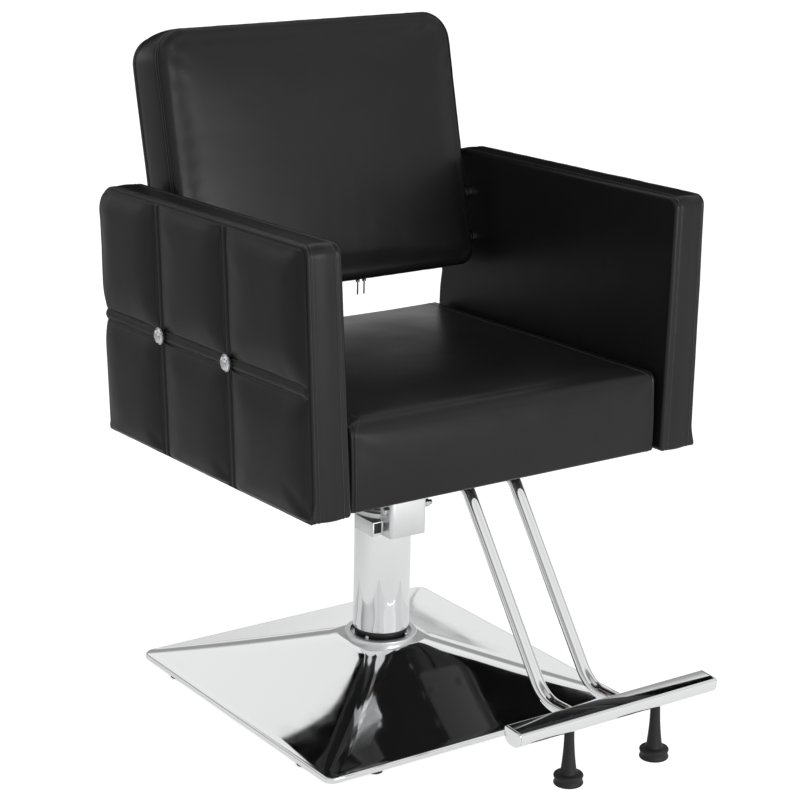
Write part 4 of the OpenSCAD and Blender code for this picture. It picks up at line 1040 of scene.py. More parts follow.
# %% [markdown]
# ## How full the foam is
# Foam is held down on a seam and free away from it. So its height is a rule of distance: a small steep
# lip beside the seam, then a long soft slope. Towards the panel's outline the foam thins out, except at
# the foot, where the leather wraps straight under.

# %% Fullness of the foam
def rise(distance, reach, power=2.5):
    """From nothing on a sewn line to full height at a reach from it."""
    return 1 - (1 - np.clip(distance / reach, 0, 1)) ** power


def plump(distance):
    """A puff's height beside a seam: a small steep lip, and then a long soft slope."""
    return 0.3 * rise(distance, 3.5 * MM) + 0.7 * rise(distance, 40 * MM, 2.2)


def rim_share(u, v):
    """How full the foam is near the panel's outline: it thins out towards the rim, but not at the foot."""
    a, r = ARM_HALF_Y - np.abs(u), arm_corner(u, v)
    b = np.where(v > 0, ARM_H / 2 - v, 1.0)
    rim = np.where((a < r) & (b < r), r - np.hypot(r - a, r - b), np.minimum(a, b))
    side = rise(rim, 5 * MM) * (0.35 + 0.65 * rise(rim, 45 * MM, 2))
    return side * rise(ARM_HALF_Y + u, 26 * MM, 2) * rise(v + ARM_H / 2, 7 * MM, 2)


def foot_share(v):
    """1 at the foot of the panel, where it wraps under, and 0 above it."""
    return np.clip((30 * MM - ARM_H / 2 - v) / (24 * MM), 0, 1)


lip_height = plump(np.array([3.5 * MM]))[0]
print("foam has", round(float(lip_height), 2), "of its height 3.5 mm from a seam")

# %% [markdown]
# ## Quilting by distance
# One function gives the height of the quilted face anywhere. It measures how far a place is from each
# band's edge and from the panel's border, lets the foam rise with each distance, and multiplies the
# rises, so a puff's corner is lower than its sides. Between a band's two seams a small round strip takes
# the puff's place. A second function adds the small folds that the thread pulls into the leather, and a
# third lists the places where the thread runs.

# %% Quilting
def off_bands(u, v):
    """Distances from the upright and level bands' edges, and the bands' half widths there."""
    nearest = np.minimum(np.hypot(u - BANDS_U[0], v - BAND_V), np.hypot(u - BANDS_U[1], v - BAND_V))
    near = np.exp(-(nearest / (24 * MM)) ** 2)
    upright = np.minimum(np.abs(u - BANDS_U[0]), np.abs(u - BANDS_U[1]))
    level = np.abs(v - BAND_V)
    half_u, half_v = UPRIGHT_HALF - 2.4 * MM * near, LEVEL_HALF - 1.6 * MM * near
    return upright - half_u, level - half_v, half_u, half_v


def quilt_height(u, v):
    """Height of the quilted face above the panel's plane."""
    upright, level, half_u, half_v = off_bands(u, v)
    rim = rim_share(u, v)
    puff = plump(upright) * plump(level) * rim
    strip_u = np.clip(1 - ((upright + half_u) / half_u) ** 2.6, 0, 1)
    strip_v = np.clip(1 - ((level + half_v) / half_v) ** 2.6, 0, 1)
    strip = np.maximum(strip_u, strip_v) * np.clip(3 * rim, 0, 1)
    return -BAND_H + np.maximum(BAND_H * strip, (PUFF_H + BAND_H) * puff)


def quilt_pucker(u, v):
    """Small folds that run away from the sewn lines into the puffs."""
    upright, level, _, _ = off_bands(u, v)
    beside = np.stack([0 * u, v, np.sign(u)], axis=1)
    below = np.stack([u, 0 * v, np.sign(v - BAND_V)], axis=1)
    near = np.exp(-np.abs(upright) / (7 * MM)) * ripple(beside, 15 * MM, 8)
    return 0.45 * MM * (near + np.exp(-np.abs(level) / (7 * MM)) * ripple(below, 15 * MM, 9))


def band_seams():
    """Places along the sewn edges of the bands, a hair inside each edge."""
    paths = []
    inside = 0.9 * MM
    for band in BANDS_U:
        for side in (-1, 1):
            for low, high in ((7 * MM - ARM_H / 2, BAND_V - 10 * MM), (BAND_V + 10 * MM, ARM_H / 2 - 8 * MM)):
                v = np.linspace(low, high, 60)
                half = off_bands(np.full_like(v, band), v)[2]
                paths.append((band + side * (half - inside), v))
    for side in (-1, 1):
        u = np.linspace(6 * MM - ARM_HALF_Y, ARM_HALF_Y - 8 * MM, 160)
        half = off_bands(u, np.full_like(u, BAND_V))[3]
        paths.append((u, BAND_V + side * (half - inside)))
    return paths


puff_top = quilt_height(np.array([0.0]), np.array([0.1]))[0]
print("a puff's middle stands", round(float(puff_top / MM), 1), "mm proud")

# %% [markdown]
# ## Two arms from one rule
# Depths of the profile are counted from the outer face inwards where they are positive, and from the
# inner face outwards where they are negative, because the arm gets thinner towards its top. The rim
# between the faces has a groove beside the quilted panel, a twin-needle seam and a plain strip that
# ends in one more seam just before the inner edge.

# %% Arms
INNER_ROLL = 6 * MM
RIM_SEAM, INNER_SEAM = 9.5 * MM, -10 * MM
RIM_STITCH_D = (7.0 * MM, 12 * MM, -12.5 * MM)
# Keeps the inner face's depth below zero, since the sign says from which face a depth is counted
HAIR = 0.001 * MM
ARM_PROFILE = [(5.5 * MM, 3.2 * MM), (4.4 * MM, 4.4 * MM), (3.2 * MM, 4.0 * MM), (2.2 * MM, 4.0 * MM),
               (1.3 * MM, 4.6 * MM), (0.6 * MM, 5.6 * MM), (0.15 * MM, 7.0 * MM)]
ARM_PROFILE += [(0, d * MM) for d in (8, 9, 10, 11, 12, 13, 14.5, 17)]
ARM_PROFILE += [(-0.5 * MM, 22 * MM), (-0.9 * MM, 28 * MM), (-0.9 * MM, -26 * MM), (-0.6 * MM, -20 * MM)]
ARM_PROFILE += [(-0.1 * MM, d * MM) for d in (-15, -12.5, -11.2, -10, -8.8, -7.5)]
ARM_PROFILE += [(INNER_ROLL * (1 - math.cos(a)), -INNER_ROLL * (1 - math.sin(a)) - HAIR)
                for a in (0, math.pi / 12, math.pi / 6, math.pi / 4, math.pi / 3, 5 * math.pi / 12)]
ARM_PROFILE += [(INNER_ROLL, -HAIR)]


def arm_place(x_out, u, v, side):
    """World places of points of an arm, from their distance out and their place on its side."""
    return raked(np.stack([side * x_out, u + ARM_MID_Y, v + ARM_H / 2 + ARM_FOOT_Z], axis=1))


def arm_grid():
    """The outer face's grid lines, closest where the bands' edges and the panel's border run."""
    upright = [band + s * 6.2 * MM for band in BANDS_U for s in (-1, 1)]
    level = [BAND_V - 7.2 * MM, BAND_V + 7.2 * MM]
    lines = []
    for half, marks in ((ARM_HALF_Y, upright), (ARM_H / 2, level)):
        border = [1.5 * MM - half, half - 1.5 * MM]
        lines.append(graded(-half, half, 5.5 * MM, marks + border, fine=1.25 * MM, reach=9 * MM))
    return lines


def make_arm(side, name, move=None):
    box = PaddedBox(*arm_grid(), arm_corner, ARM_PROFILE)
    foot = foot_share(box.y) * (box.depth > 0) * (box.depth < 7.5 * MM)
    u, v = box.x + pinched(box.x, box.y), box.y - 0.85 * foot * box.inset
    depth = box.depth * (1 - 0.9 * foot)
    height = v + ARM_H / 2
    face = box.ring == 0
    proud = np.where(face, quilt_height(box.x, v) + quilt_pucker(box.x, v), 0)
    x_out = np.where(face, outer_x(height) + proud,
                     np.where(box.depth > 0, outer_x(height) - depth, inner_x(height) - depth))
    piece = mesh_piece(f"arm_{name}_cover", arm_place(x_out, u, v, side), box.faces())
    if move is None:
        upright, level, _, _ = off_bands(box.x, v)
        foam = face & (np.minimum(upright, level) > 1 * MM) & (rim_share(box.x, v) > 0.2)
        move = swell(piece, ~foam, ARM_FOAM, voxel=6 * MM)
    set_points(piece, points_of(piece) + move)
    rim = ~face & (box.ring < box.rings - 1)
    seams = groove(box.depth - RIM_SEAM, 0.9 * MM, 1.3 * MM)
    seams += groove(box.depth - INNER_SEAM, 0.9 * MM, 1.4 * MM)
    near = np.minimum(np.abs(box.depth - RIM_SEAM), np.abs(box.depth - INNER_SEAM))
    pucker = 0.35 * MM * np.exp(-near / (5 * MM)) * ripple(box.around(), 12 * MM, 10)
    local = np.stack([x_out, u, v], axis=1)
    soft = 0.45 * MM * ripple(local, 80 * MM, 11 + side) + 0.1 * MM * ripple(local, 26 * MM, 12)
    press(piece, np.where(rim, seams + pucker, 0) + soft)
    dress(piece, leather, "seat", "leather", f"arm_body_{name}", f"arm_pad_{name}")
    rings = [k for k, row in enumerate(ARM_PROFILE) if row[1] in RIM_STITCH_D]
    sew(f"arm_{name}_rim_stitches", rows_on(piece, [box.loop(k) for k in rings]))
    rows = [(outer_x(v + ARM_H / 2) + quilt_height(u, v) + 0.2 * MM, u + pinched(u, v), v)
            for u, v in band_seams()]
    sew(f"arm_{name}_band_stitches", [(arm_place(*row, side), False) for row in rows])
    return piece, move


arm_left, foam_move = make_arm(-1, "left")
arm_right = make_arm(1, "right", foam_move * (-1, 1, 1))[0]
measure(arm_left, arm_right)

# %% [markdown]
# ## Squares as rings of points
# The base, the turned parts, the tubes and the bar are all drawn as rings, one after the other. The
# rings of a piece have the same number of points, so that faces can be laid between any two of them.
# These helpers give a square with rounded corners, a softer one that bows like a pillow, and the faces
# between rings.

# %% Rings
PER_SIDE, PER_CORNER = 14, 9


def rounded_square(half, radius):
    """Points once round a square with rounded corners, always the same number."""
    places = []
    for quarter in range(4):
        spin = Matrix.Rotation(quarter * math.pi / 2, 2)
        straight = [(half, (half - radius) * (2 * k / PER_SIDE - 1)) for k in range(PER_SIDE)]
        centre = half - radius
        turn = [(centre + radius * math.cos(a), centre + radius * math.sin(a))
                for a in (math.pi / 2 * k / PER_CORNER for k in range(PER_CORNER))]
        places += [spin @ Vector(p) for p in straight + turn]
    return np.array([tuple(p) for p in places])


def soft_square(half, power):
    """Points once round a square whose sides bow into its corners with no break in their curve."""
    places = rounded_square(half, half * 0.25)
    size = (np.abs(places[:, 0]) ** power + np.abs(places[:, 1]) ** power) ** (1 / power)
    return places / size[:, None] * half


def stacked(rings, ends=False):
    """Faces between rings of equal length, and perhaps a flat face at both ends."""
    count, n = len(rings), len(rings[0])
    faces = [(k * n + i, k * n + (i + 1) % n, (k + 1) * n + (i + 1) % n, (k + 1) * n + i)
             for k in range(count - 1) for i in range(n)]
    if ends:
        faces += [tuple(range(n)), tuple(range((count - 1) * n, count * n))]
    return faces


print("a ring of the base has", 4 * (PER_SIDE + PER_CORNER), "points")

# %% [markdown]
# ## The pressed base
# The base is one sheet of steel pressed into a flat square pyramid and chromed. Its shape follows a
# rule, so it is made as rings: each ring is a rounded square, wide and low at the rim, small and high at
# the column, and the innermost is the round hole for the pump. The flats are drawn in by a hair, as a
# pressing is. Only the upper skin is drawn; a Solidify modifier gives the sheet its thickness downwards.

# %% Base rings
PUMP_HOLE_R = 40.3 * MM
LANDING_HALF, LANDING_STEP = 58.3 * MM, 0.5 * MM
BASE_CORNER_R = 16 * MM
RIM_H, RIM_ROLL, RIM_CHAMFER = 10 * MM, 4 * MM, 0.6 * MM
FLAT_SAG = 1.6 * MM
SHEET_T = 3 * MM


def landing_rings(landing):
    """Flat rings from the pump's hole out to the top of the slopes."""
    small = soft_square(LANDING_HALF, 4)
    circle = small / np.linalg.norm(small, axis=1)[:, None] * PUMP_HOLE_R
    return [(circle + (small - circle) * share, landing) for share in (0, 0.5, 0.93)]


def slope_rings(side, landing, rim_high):
    """Rings down the slopes, whose corners grow crisper towards the rim."""
    rings, steps = [], 24
    for k in range(steps + 1):
        m = k / steps
        half = LANDING_HALF + (side - RIM_ROLL - LANDING_HALF) * m
        crisp = m ** 1.5
        flat = soft_square(half, 4 + 16 * m) * (1 - crisp) + rounded_square(half, BASE_CORNER_R) * crisp
        drop = FLAT_SAG * math.sin(math.pi * m) + LANDING_STEP * (m > 0)
        rings.append((flat, landing + (rim_high - landing) * m - drop))
    return rings


def rim_rings(side, rim_low, rim_high):
    """Rings that roll over the edge and run down the upright rim."""
    rings, steps = [], 6
    for k in range(1, steps + 1):
        a = math.pi / 2 * k / steps
        half = side - RIM_ROLL + RIM_ROLL * math.sin(a)
        z = rim_high - LANDING_STEP - RIM_ROLL * (1 - math.cos(a))
        rings.append((rounded_square(half, BASE_CORNER_R), z))
    rings.append((rounded_square(side, BASE_CORNER_R), rim_low + 1 * MM))
    rings.append((rounded_square(side - RIM_CHAMFER, BASE_CORNER_R - RIM_CHAMFER), rim_low))
    return rings


def make_base():
    low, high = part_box("base_plate")
    rim_high = low.z + RIM_H
    flats = landing_rings(high.z) + slope_rings(high.x, high.z, rim_high) + rim_rings(high.x, low.z, rim_high)
    rings = [[(x, y, z) for x, y in flat] for flat, z in flats]
    piece = mesh_piece("base_shell", [p for ring in rings for p in ring], stacked(rings))
    if normals_of(piece)[0][2] < 0:
        piece.data.flip_normals()
    wall = piece.modifiers.new("sheet", "SOLIDIFY")
    wall.thickness = SHEET_T
    wall.offset = -1
    bake(piece)
    piece.data.set_sharp_from_angle(angle=math.radians(40))
    return dress(piece, chrome, "base", "bright", "base_plate")


base_shell = make_base()
measure(base_shell)

# %% [markdown]
# ## Turned parts
# The sleeve, the collar ring and the rubber feet are round, as if turned on a lathe. A section, given as
# pairs of radius and height, is carried round the axis. A ring's section closes on itself, so its last
# circle is joined to its first. A solid's section starts and ends close to the axis, and a flat face
# closes it there.

# %% Turned parts
CREASE = math.radians(38)


def turned(name, section, place, finish, body, slot, *nodes, segments, solid=False):
    """Carries a section round an axis. place takes an array of points into the chair."""
    angles = np.linspace(0, 2 * math.pi, segments, endpoint=False)
    rings = [[(r * math.cos(a), r * math.sin(a), z) for a in angles] for r, z in section]
    faces = stacked(rings, ends=solid)
    if not solid:
        last = (len(rings) - 1) * segments
        faces += [(last + i, last + (i + 1) % segments, (i + 1) % segments, i) for i in range(segments)]
    piece = mesh_piece(name, place(np.array([p for ring in rings for p in ring])), faces)
    piece.data.set_sharp_from_angle(angle=CREASE)
    return dress(piece, finish, body, slot, *nodes)


def arc(centre, radius, first, last, steps):
    """Points of an arc in a section, in degrees."""
    turn = [math.radians(first + (last - first) * k / steps) for k in range(steps + 1)]
    return [(centre[0] + radius * math.cos(a), centre[1] + radius * math.sin(a)) for a in turn]


def make_sleeve():
    low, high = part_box("pump_sleeve")
    outer, wall, lip = high.x, 2 * MM, 0.7 * MM
    section = [(outer - wall, high.z), (outer, high.z)]
    section += arc((outer - lip, low.z + lip), lip, 0, -90, 4) + [(outer - wall, low.z)]
    return turned("column_sleeve", section, np.array, chrome, "base", "bright", "pump_sleeve", segments=128)


def make_collar():
    low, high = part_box("collar_ring")
    outer, recess, floor_t = high.x, 46.6 * MM, 3 * MM
    rim, lip = 2.6 * MM, 0.8 * MM
    section = [(PUMP_HOLE_R, low.z), (outer, low.z)] + arc((outer - rim, high.z - rim), rim, 0, 90, 7)
    section += arc((recess + lip, high.z - lip), lip, 90, 180, 4)
    section += [(recess, low.z + floor_t), (PUMP_HOLE_R, low.z + floor_t)]
    return turned("collar", section, np.array, satin, "base", "bright", "collar_ring", segments=128)


sleeve = make_sleeve()
collar = make_collar()
measure(sleeve, collar)

# %% [markdown]
# ## The rubber feet
# Two rubber feet hang under the footrest's bar, where they would meet the floor before the metal does.
# Each has a soft sole with a groove round it, and a neck that flares in a hollow curve, thin under the
# bar and broad at the sole. They are turned upright and then leaned with the footrest.

# %% Rubber feet
FOOT_X, BAR_Y, BAR_Z = 75 * MM, -545 * MM, 149.5 * MM
BAR_T, BAR_H, BAR_LEN = 34 * MM, 23 * MM, 343 * MM
BAR_TILT = math.radians(5)
FOOT_LEN, SOLE_R, SOLE_H = 78 * MM, 20.25 * MM, 16 * MM
NECK_R, NECK_LOW_R = 6.75 * MM, 11 * MM


def foot_section():
    """From the middle of the sole, out round its lips and groove, and up the hollow neck."""
    lip = 3 * MM
    flare = FOOT_LEN - SOLE_H - lip
    sole = arc((SOLE_R - lip, lip), lip, -90, 20, 6)
    waist = [(SOLE_R - 1.1 * MM, 6.2 * MM), (SOLE_R - 1.5 * MM, 8 * MM), (SOLE_R - 1.1 * MM, 9.8 * MM)]
    top = arc((SOLE_R - lip, SOLE_H - lip), lip, -20, 90, 6)
    foot = [(NECK_LOW_R + 4 * MM, SOLE_H), (NECK_LOW_R + 1.4 * MM, SOLE_H + 0.8 * MM)]
    neck = [(NECK_R + (NECK_LOW_R - NECK_R) * (1 - k) ** 2, SOLE_H + lip + flare * k)
            for k in (j / 14 for j in range(15))]
    return [(0.5 * MM, 0)] + sole + waist + top + foot + neck + [(0.5 * MM, FOOT_LEN)]


def make_foot(side, name):
    def place(points):
        return raked(points + np.array([side * FOOT_X, BAR_Y, BAR_Z - BAR_H / 2 - FOOT_LEN]))
    return turned(f"foot_{name}", foot_section(), place, rubber, "seat", "rubber",
                  f"footrest_foot_{name}", segments=72, solid=True)


feet = [make_foot(-1, "left"), make_foot(1, "right")]
measure(*feet)

# %% [markdown]
# ## The footrest's tubes
# Two chromed tubes come down from under the seat and run forward under a flat-topped bar. Each tube is
# a circle carried along a line of straights and true arcs, which is what a bending machine makes. The
# line is drawn in the tube's own upright plane from its corners and a bend's radius at each. A tube has
# a wall, so Solidify thickens the skin inwards and both ends stay open.

# %% Footrest tubes
TUBE_X, TUBE_R, TUBE_WALL = 40.5 * MM, 9.5 * MM, 1.6 * MM
TUBE_SIDES = 48
# Corners by Y and Z, and the radius of the bend at each, in millimetres
TUBE_PATH = [(-146, 398.45), (-263, 398.45), (-447, 137.95), (-537, 137.95)]
TUBE_BENDS = [0, 28, 56, 0]


def bent_path(corners, radii):
    """Places and directions along straights joined by arcs."""
    out, steps = [], 18
    for k, corner in enumerate(corners):
        here = Vector(corner)
        if radii[k] == 0:
            ahead = (Vector(corners[k + 1]) - here if k == 0 else here - Vector(corners[k - 1])).normalized()
            out.append((here, ahead))
            continue
        into = (here - Vector(corners[k - 1])).normalized()
        away = (Vector(corners[k + 1]) - here).normalized()
        turn = into.angle_signed(away)
        reach = radii[k] * math.tan(abs(turn) / 2)
        start = here - into * reach
        side = Vector((into.y, -into.x)) * (1 if turn > 0 else -1)
        centre = start + side * radii[k]
        for j in range(steps + 1):
            spin = Matrix.Rotation(-turn * j / steps, 2)
            out.append((centre + spin @ (start - centre), spin @ into))
    return out


def make_tube(side, name):
    turn = np.linspace(0, 2 * math.pi, TUBE_SIDES, endpoint=False)
    rings = []
    for place, ahead in bent_path(TUBE_PATH, TUBE_BENDS):
        across = Vector((-ahead.y, ahead.x))
        rings.append([(side * TUBE_X + TUBE_R * math.cos(a), place.x * MM + across.x * TUBE_R * math.sin(a),
                       place.y * MM + across.y * TUBE_R * math.sin(a)) for a in turn])
    piece = mesh_piece(f"footrest_tube_{name}_bent", raked([p for r in rings for p in r]), stacked(rings))
    middle = points_of(piece)[:TUBE_SIDES].mean(axis=0)
    if np.dot(normals_of(piece)[0], points_of(piece)[0] - middle) < 0:
        piece.data.flip_normals()
    wall = piece.modifiers.new("wall", "SOLIDIFY")
    wall.thickness = TUBE_WALL
    wall.offset = -1
    bake(piece)
    piece.data.set_sharp_from_angle(angle=math.radians(50))
    return dress(piece, chrome, "seat", "bright", f"footrest_tube_{name}")


tubes = [make_tube(-1, "left"), make_tube(1, "right")]
measure(*tubes)

# %% [markdown]
# ## The footrest's bar
# The bar has a flat top with small rounds and a belly with broad ones. It is its section drawn out along
# X through a few stations, and a station can draw the section in by a little, which makes the rounded
# ends. A separate cap closes each end, and the hairline between bar and cap is real geometry.

# %% Footrest bar
def bar_section(inset):
    """The bar's outline, drawn in by an inset."""
    w, h = BAR_T / 2 - inset, BAR_H / 2 - inset
    small, broad = 3.5 * MM - inset, 13 * MM - inset
    points = arc((w - small, h - small), small, 0, 90, 6)
    points += arc((small - w, h - small), small, 90, 180, 6)
    points += arc((broad - w, broad - h), broad, 180, 270, 12)
    return points + arc((w - broad, broad - h), broad, 270, 360, 12)


def drawn_bar(name, stations, *nodes):
    """A bar along X: each station is its place along X and how far its section is drawn in."""
    lying, rising = math.cos(BAR_TILT), math.sin(BAR_TILT)
    rings = [[(x, BAR_Y + y * lying - z * rising, BAR_Z + y * rising + z * lying)
              for y, z in bar_section(inset)] for x, inset in stations]
    piece = mesh_piece(name, raked([p for r in rings for p in r]), stacked(rings, ends=True))
    piece.data.set_sharp_from_angle(angle=math.radians(32))
    return dress(piece, chrome, "seat", "bright", *nodes)


def make_bar():
    cap, edge, half = 3 * MM, 0.3 * MM, BAR_LEN / 2
    body = half - cap
    stations = [(-body, edge), (edge - body, 0), (body - edge, 0), (body, edge)]
    pieces = [drawn_bar("footrest_bar_body", stations, "footrest_bar")]
    for side, label in ((-1, "left"), (1, "right")):
        stations = [(side * (body - 2 * MM), 2 * MM), (side * (body + 0.15 * MM), 2 * MM),
                    (side * (body + 0.15 * MM), 0.4 * MM), (side * (body + 0.6 * MM), 0),
                    (side * (half - 0.9 * MM), 0), (side * (half - 0.3 * MM), 0.35 * MM),
                    (side * half, 1.1 * MM)]
        pieces.append(drawn_bar(f"footrest_cap_{label}", stations, "footrest_caps"))
    return pieces


bar_and_caps = make_bar()
measure(*bar_and_caps)

# %% [markdown]
# ## Finishing the machined parts
# The remaining rigid parts have their right shape already, but packed faces are loose triangles with
# knife edges. A real casting or a cut plate always has a small round on its edges, and that round
# catches the light. So each node gets a finished copy: the triangles are merged, flat areas are
# dissolved into single faces, a small Bevel is added, and the shading is split at real corners only.

# %% Finished copies
BLACKENED = ("arm_screws", "bracket_bolts", "footrest_screws")
# How wide each node's edges are rounded, in millimetres
BEVELS = {
    "pump_head": 0.9, "gland_nut": 0.4, "pedal_arm": 1.2, "pedal_pad": 1.0, "cross_bolt": 0.4,
    "seat_bracket": 0.5, "bracket_bolts": 0.3, "footrest_bracket": 0.5, "footrest_screws": 0.3,
    "arm_plate_left": 0.4, "arm_plate_right": 0.4, "arm_screws": 0.2, "back_spacers_left": 0.6,
    "back_spacers_right": 0.6, "base_glides": 0.6, "base_stiffener": 0.5, "pump_body": 0.0,
    "pump_bolts": 0.25, "head_plug": 0.5, "pedal_pin": 0.3, "piston": 0.0, "zipper": 0.2,
    "zipper_pull_left": 0.25, "zipper_pull_right": 0.25, "button_cups_left": 0.25,
    "button_cups_right": 0.25, "seat_board": 0.5}


def finished(node, bevel):
    """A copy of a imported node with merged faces, rounded edges and smooth shading."""
    mesh = frame["nodes"][node].data.copy()
    shell = bmesh.new()
    shell.from_mesh(mesh)
    bmesh.ops.remove_doubles(shell, verts=shell.verts, dist=0.002 * MM)
    bmesh.ops.dissolve_limit(shell, angle_limit=math.radians(1.2), verts=shell.verts, edges=shell.edges)
    shell.to_mesh(mesh)
    shell.free()
    piece = bpy.data.objects.new(f"{node}_finished", mesh)
    bpy.context.collection.objects.link(piece)
    if bevel:
        edge = piece.modifiers.new("edges", "BEVEL")
        edge.width = bevel
        edge.segments = 2
        edge.limit_method = "ANGLE"
        edge.angle_limit = math.radians(40)
        edge.use_clamp_overlap = True
    flat = piece.modifiers.new("faces", "TRIANGULATE")
    flat.min_vertices = 5
    bake(piece)
    piece.data.polygons.foreach_set("use_smooth", [True] * len(piece.data.polygons))
    piece.data.set_sharp_from_angle(angle=CREASE)
    finish = black_zinc if node in BLACKENED else FINISHES[slot_of[node]]
    return dress(piece, finish, body_of[node], slot_of[node], node)


for node, width in BEVELS.items():
    finished(node, width * MM)

# %% [markdown]
# ## Crystal buttons
# Each button is a chromed cup that holds a cut stone. A stone's sparkle comes from flat facets that
# meet at sharp edges, so it is shaded flat: a round of kites and triangles rises from the girdle to a
# small table on top. The four stones are one small rule repeated, with a turn between its rings.

# %% Crystals
STONE_R, STONE_H = 11.6 * MM, 6 * MM
# Height over the panel's plane of a stone's flat back, inside its cup
STONE_LIFT = 0.3 * MM + 4 * MM * 2 / 3
# A stone's circles: share of its radius, share of its height, and turn in facets
STONE_SHARES = [(0.93, 0, 0), (0.93, 0.25, 0), (1, 0.3, 0), (1, 0.42, 0), (0.8, 0.76, 0.5), (0.47, 1, 0)]


def cut_stone(sides=12):
    """Points and faces of a cut stone that stands on its flat back."""
    points = []
    for reach, up, turn in STONE_SHARES:
        spots = [2 * math.pi * (k + turn) / sides for k in range(sides)]
        points += [(STONE_R * reach * math.cos(a), STONE_R * reach * math.sin(a), STONE_H * up)
                   for a in spots]
    faces = [tuple(range(sides))[::-1], tuple(range(5 * sides, 6 * sides))]
    for k in range(sides):
        m = (k + 1) % sides
        faces += [(low + k, low + m, low + sides + m, low + sides + k) for low in (0, sides, 2 * sides)]
        girdle, star, table = 3 * sides, 4 * sides, 5 * sides
        faces += [(girdle + k, girdle + m, star + k), (star + k, girdle + m, star + m)]
        faces += [(star + k, table + m, table + k), (star + k, star + m, table + m)]
    return np.array(points), faces


def make_crystals(side, name):
    shape, faces = cut_stone()
    back = outer_x(BAND_V + ARM_H / 2) + STONE_LIFT
    points, all_faces = [], []
    for u in BANDS_U:
        all_faces += [tuple(len(points) + k for k in face) for face in faces]
        points += list(arm_place(back + shape[:, 2], u + shape[:, 0], BAND_V + shape[:, 1], side))
    piece = mesh_piece(f"crystals_{name}", points, all_faces)
    piece.data.polygons.foreach_set("use_smooth", [False] * len(piece.data.polygons))
    return dress(piece, crystal, "seat", "crystal", f"button_crystals_{name}")


crystals = [make_crystals(-1, "left"), make_crystals(1, "right")]
measure(*crystals)

# %% [markdown]
# ## Helpers for the studio
# The floor and the world are shaded by sums of directions and distances. Two helpers build them: a
# colour ramp with any number of stops, and one math node whose inputs are numbers or other nodes. The
# view transform is set to Standard, so that a colour renders as it is written.

# %% Studio helpers
bpy.context.scene.view_settings.view_transform = "Standard"
# The camera looks along the floor by these shares of X and Y
SIDEWAYS, REARWARDS = 0.57, 0.82


def ramp(tree, source, stops):
    """Greys by place from 0 to 1, with soft changes between the stops."""
    node = add_node(tree, "ShaderNodeValToRGB")
    node.color_ramp.interpolation = "EASE"
    while len(node.color_ramp.elements) < len(stops):
        node.color_ramp.elements.new(0.5)
    for element, (place, grey) in zip(node.color_ramp.elements, stops):
        element.position = place
        element.color = (grey, grey, grey, 1)
    tree.links.new(source, node.inputs["Fac"])
    return node.outputs["Color"]


def calc(tree, operation, first, second=None):
    """One sum whose inputs are numbers or other nodes' outputs."""
    node = add_node(tree, "ShaderNodeMath", operation=operation)
    for socket, value in zip(node.inputs, (first, second)):
        if value is None:
            continue
        if isinstance(value, (int, float)):
            socket.default_value = value
        else:
            tree.links.new(value, socket)
    return node.outputs[0]


print("studio helpers are ready")

# %% [markdown]
# ## The floor
# A large pale floor fills the view, so the background is simply its far part. A plain white floor would
# need so much light that the chair washed out. So it is light grey, and Light Path adds a glow that only
# the camera and mirrors see. The shadow under the chair stays, because the glow is less than white. The
# glow fades behind the chair's left side, because the left arm would mirror it there towards the camera.

# %% Floor
FLOOR_GLOW, MIRRORED_GLOW = 0.75, 0.5
FADE_FROM, FADE_TO = 0.2, 1.6


def make_floor():
    mesh = bpy.data.meshes.new("studio_floor")
    reach = 30
    mesh.from_pydata([(-reach, -reach, 0), (reach, -reach, 0), (reach, reach, 0), (-reach, reach, 0)], [],
                     [(0, 1, 2, 3)])
    floor = bpy.data.objects.new("studio_floor", mesh)
    bpy.context.collection.objects.link(floor)
    material, tree, shader = start_material("white_floor", (0.6, 0.6, 0.6), 0.9)
    shader.inputs["Specular IOR Level"].default_value = 0.0
    shader.inputs["Emission Color"].default_value = (1, 1, 1, 1)
    rays = add_node(tree, "ShaderNodeLightPath")
    mirrored = calc(tree, "MAXIMUM", rays.outputs["Is Glossy Ray"], rays.outputs["Is Transmission Ray"])
    place = add_node(tree, "ShaderNodeTexCoord")
    parts = add_node(tree, "ShaderNodeSeparateXYZ")
    tree.links.new(place.outputs["Object"], parts.inputs[0])
    rear_left = calc(tree, "SUBTRACT", calc(tree, "MULTIPLY", parts.outputs["Y"], REARWARDS),
                     calc(tree, "MULTIPLY", parts.outputs["X"], SIDEWAYS))
    faded = spread(tree, rear_left, MIRRORED_GLOW, 0.0, FADE_FROM, FADE_TO)
    glow = calc(tree, "ADD", calc(tree, "MULTIPLY", rays.outputs["Is Camera Ray"], FLOOR_GLOW),
                calc(tree, "MULTIPLY", mirrored, faded))
    tree.links.new(glow, shader.inputs["Emission Strength"])
    mesh.materials.append(material)
    return floor


pale_floor = make_floor()
print("floor is", round(pale_floor.dimensions.x), "m wide")

# %% [markdown]
# ## The world
# Chrome shows nothing but what it mirrors, so the world is what the base, the sleeve and the tubes look
# like. It is pale all round, greyer behind the chair, with a few darker columns, which become the grey
# lines in the tubes. One ramp gives the brightness round the horizon, one gives it from the ground up, and
# a third says at which heights the direction stops mattering. The camera itself sees plain white.

# %% World
# Brightness round the horizon: 0 and 1 point to -X, 0.25 to -Y, 0.5 to +X and 0.75 to +Y
ROUND_THE_ROOM = [(0.0, 0.4), (0.08, 0.9), (0.13, 0.75), (0.2, 1.0), (0.3, 1.0), (0.38, 0.8),
                  (0.46, 0.8), (0.54, 0.5), (0.6, 0.45), (0.75, 0.45), (0.85, 0.4), (0.95, 0.3)]
# Brightness from straight down (0) over the horizon (0.5) to straight up (1)
UP_THE_ROOM = [(0.0, 0.9), (0.5, 0.9), (0.66, 0.8), (0.76, 1.0), (0.86, 0.9), (0.93, 0.35), (1.0, 0.25)]
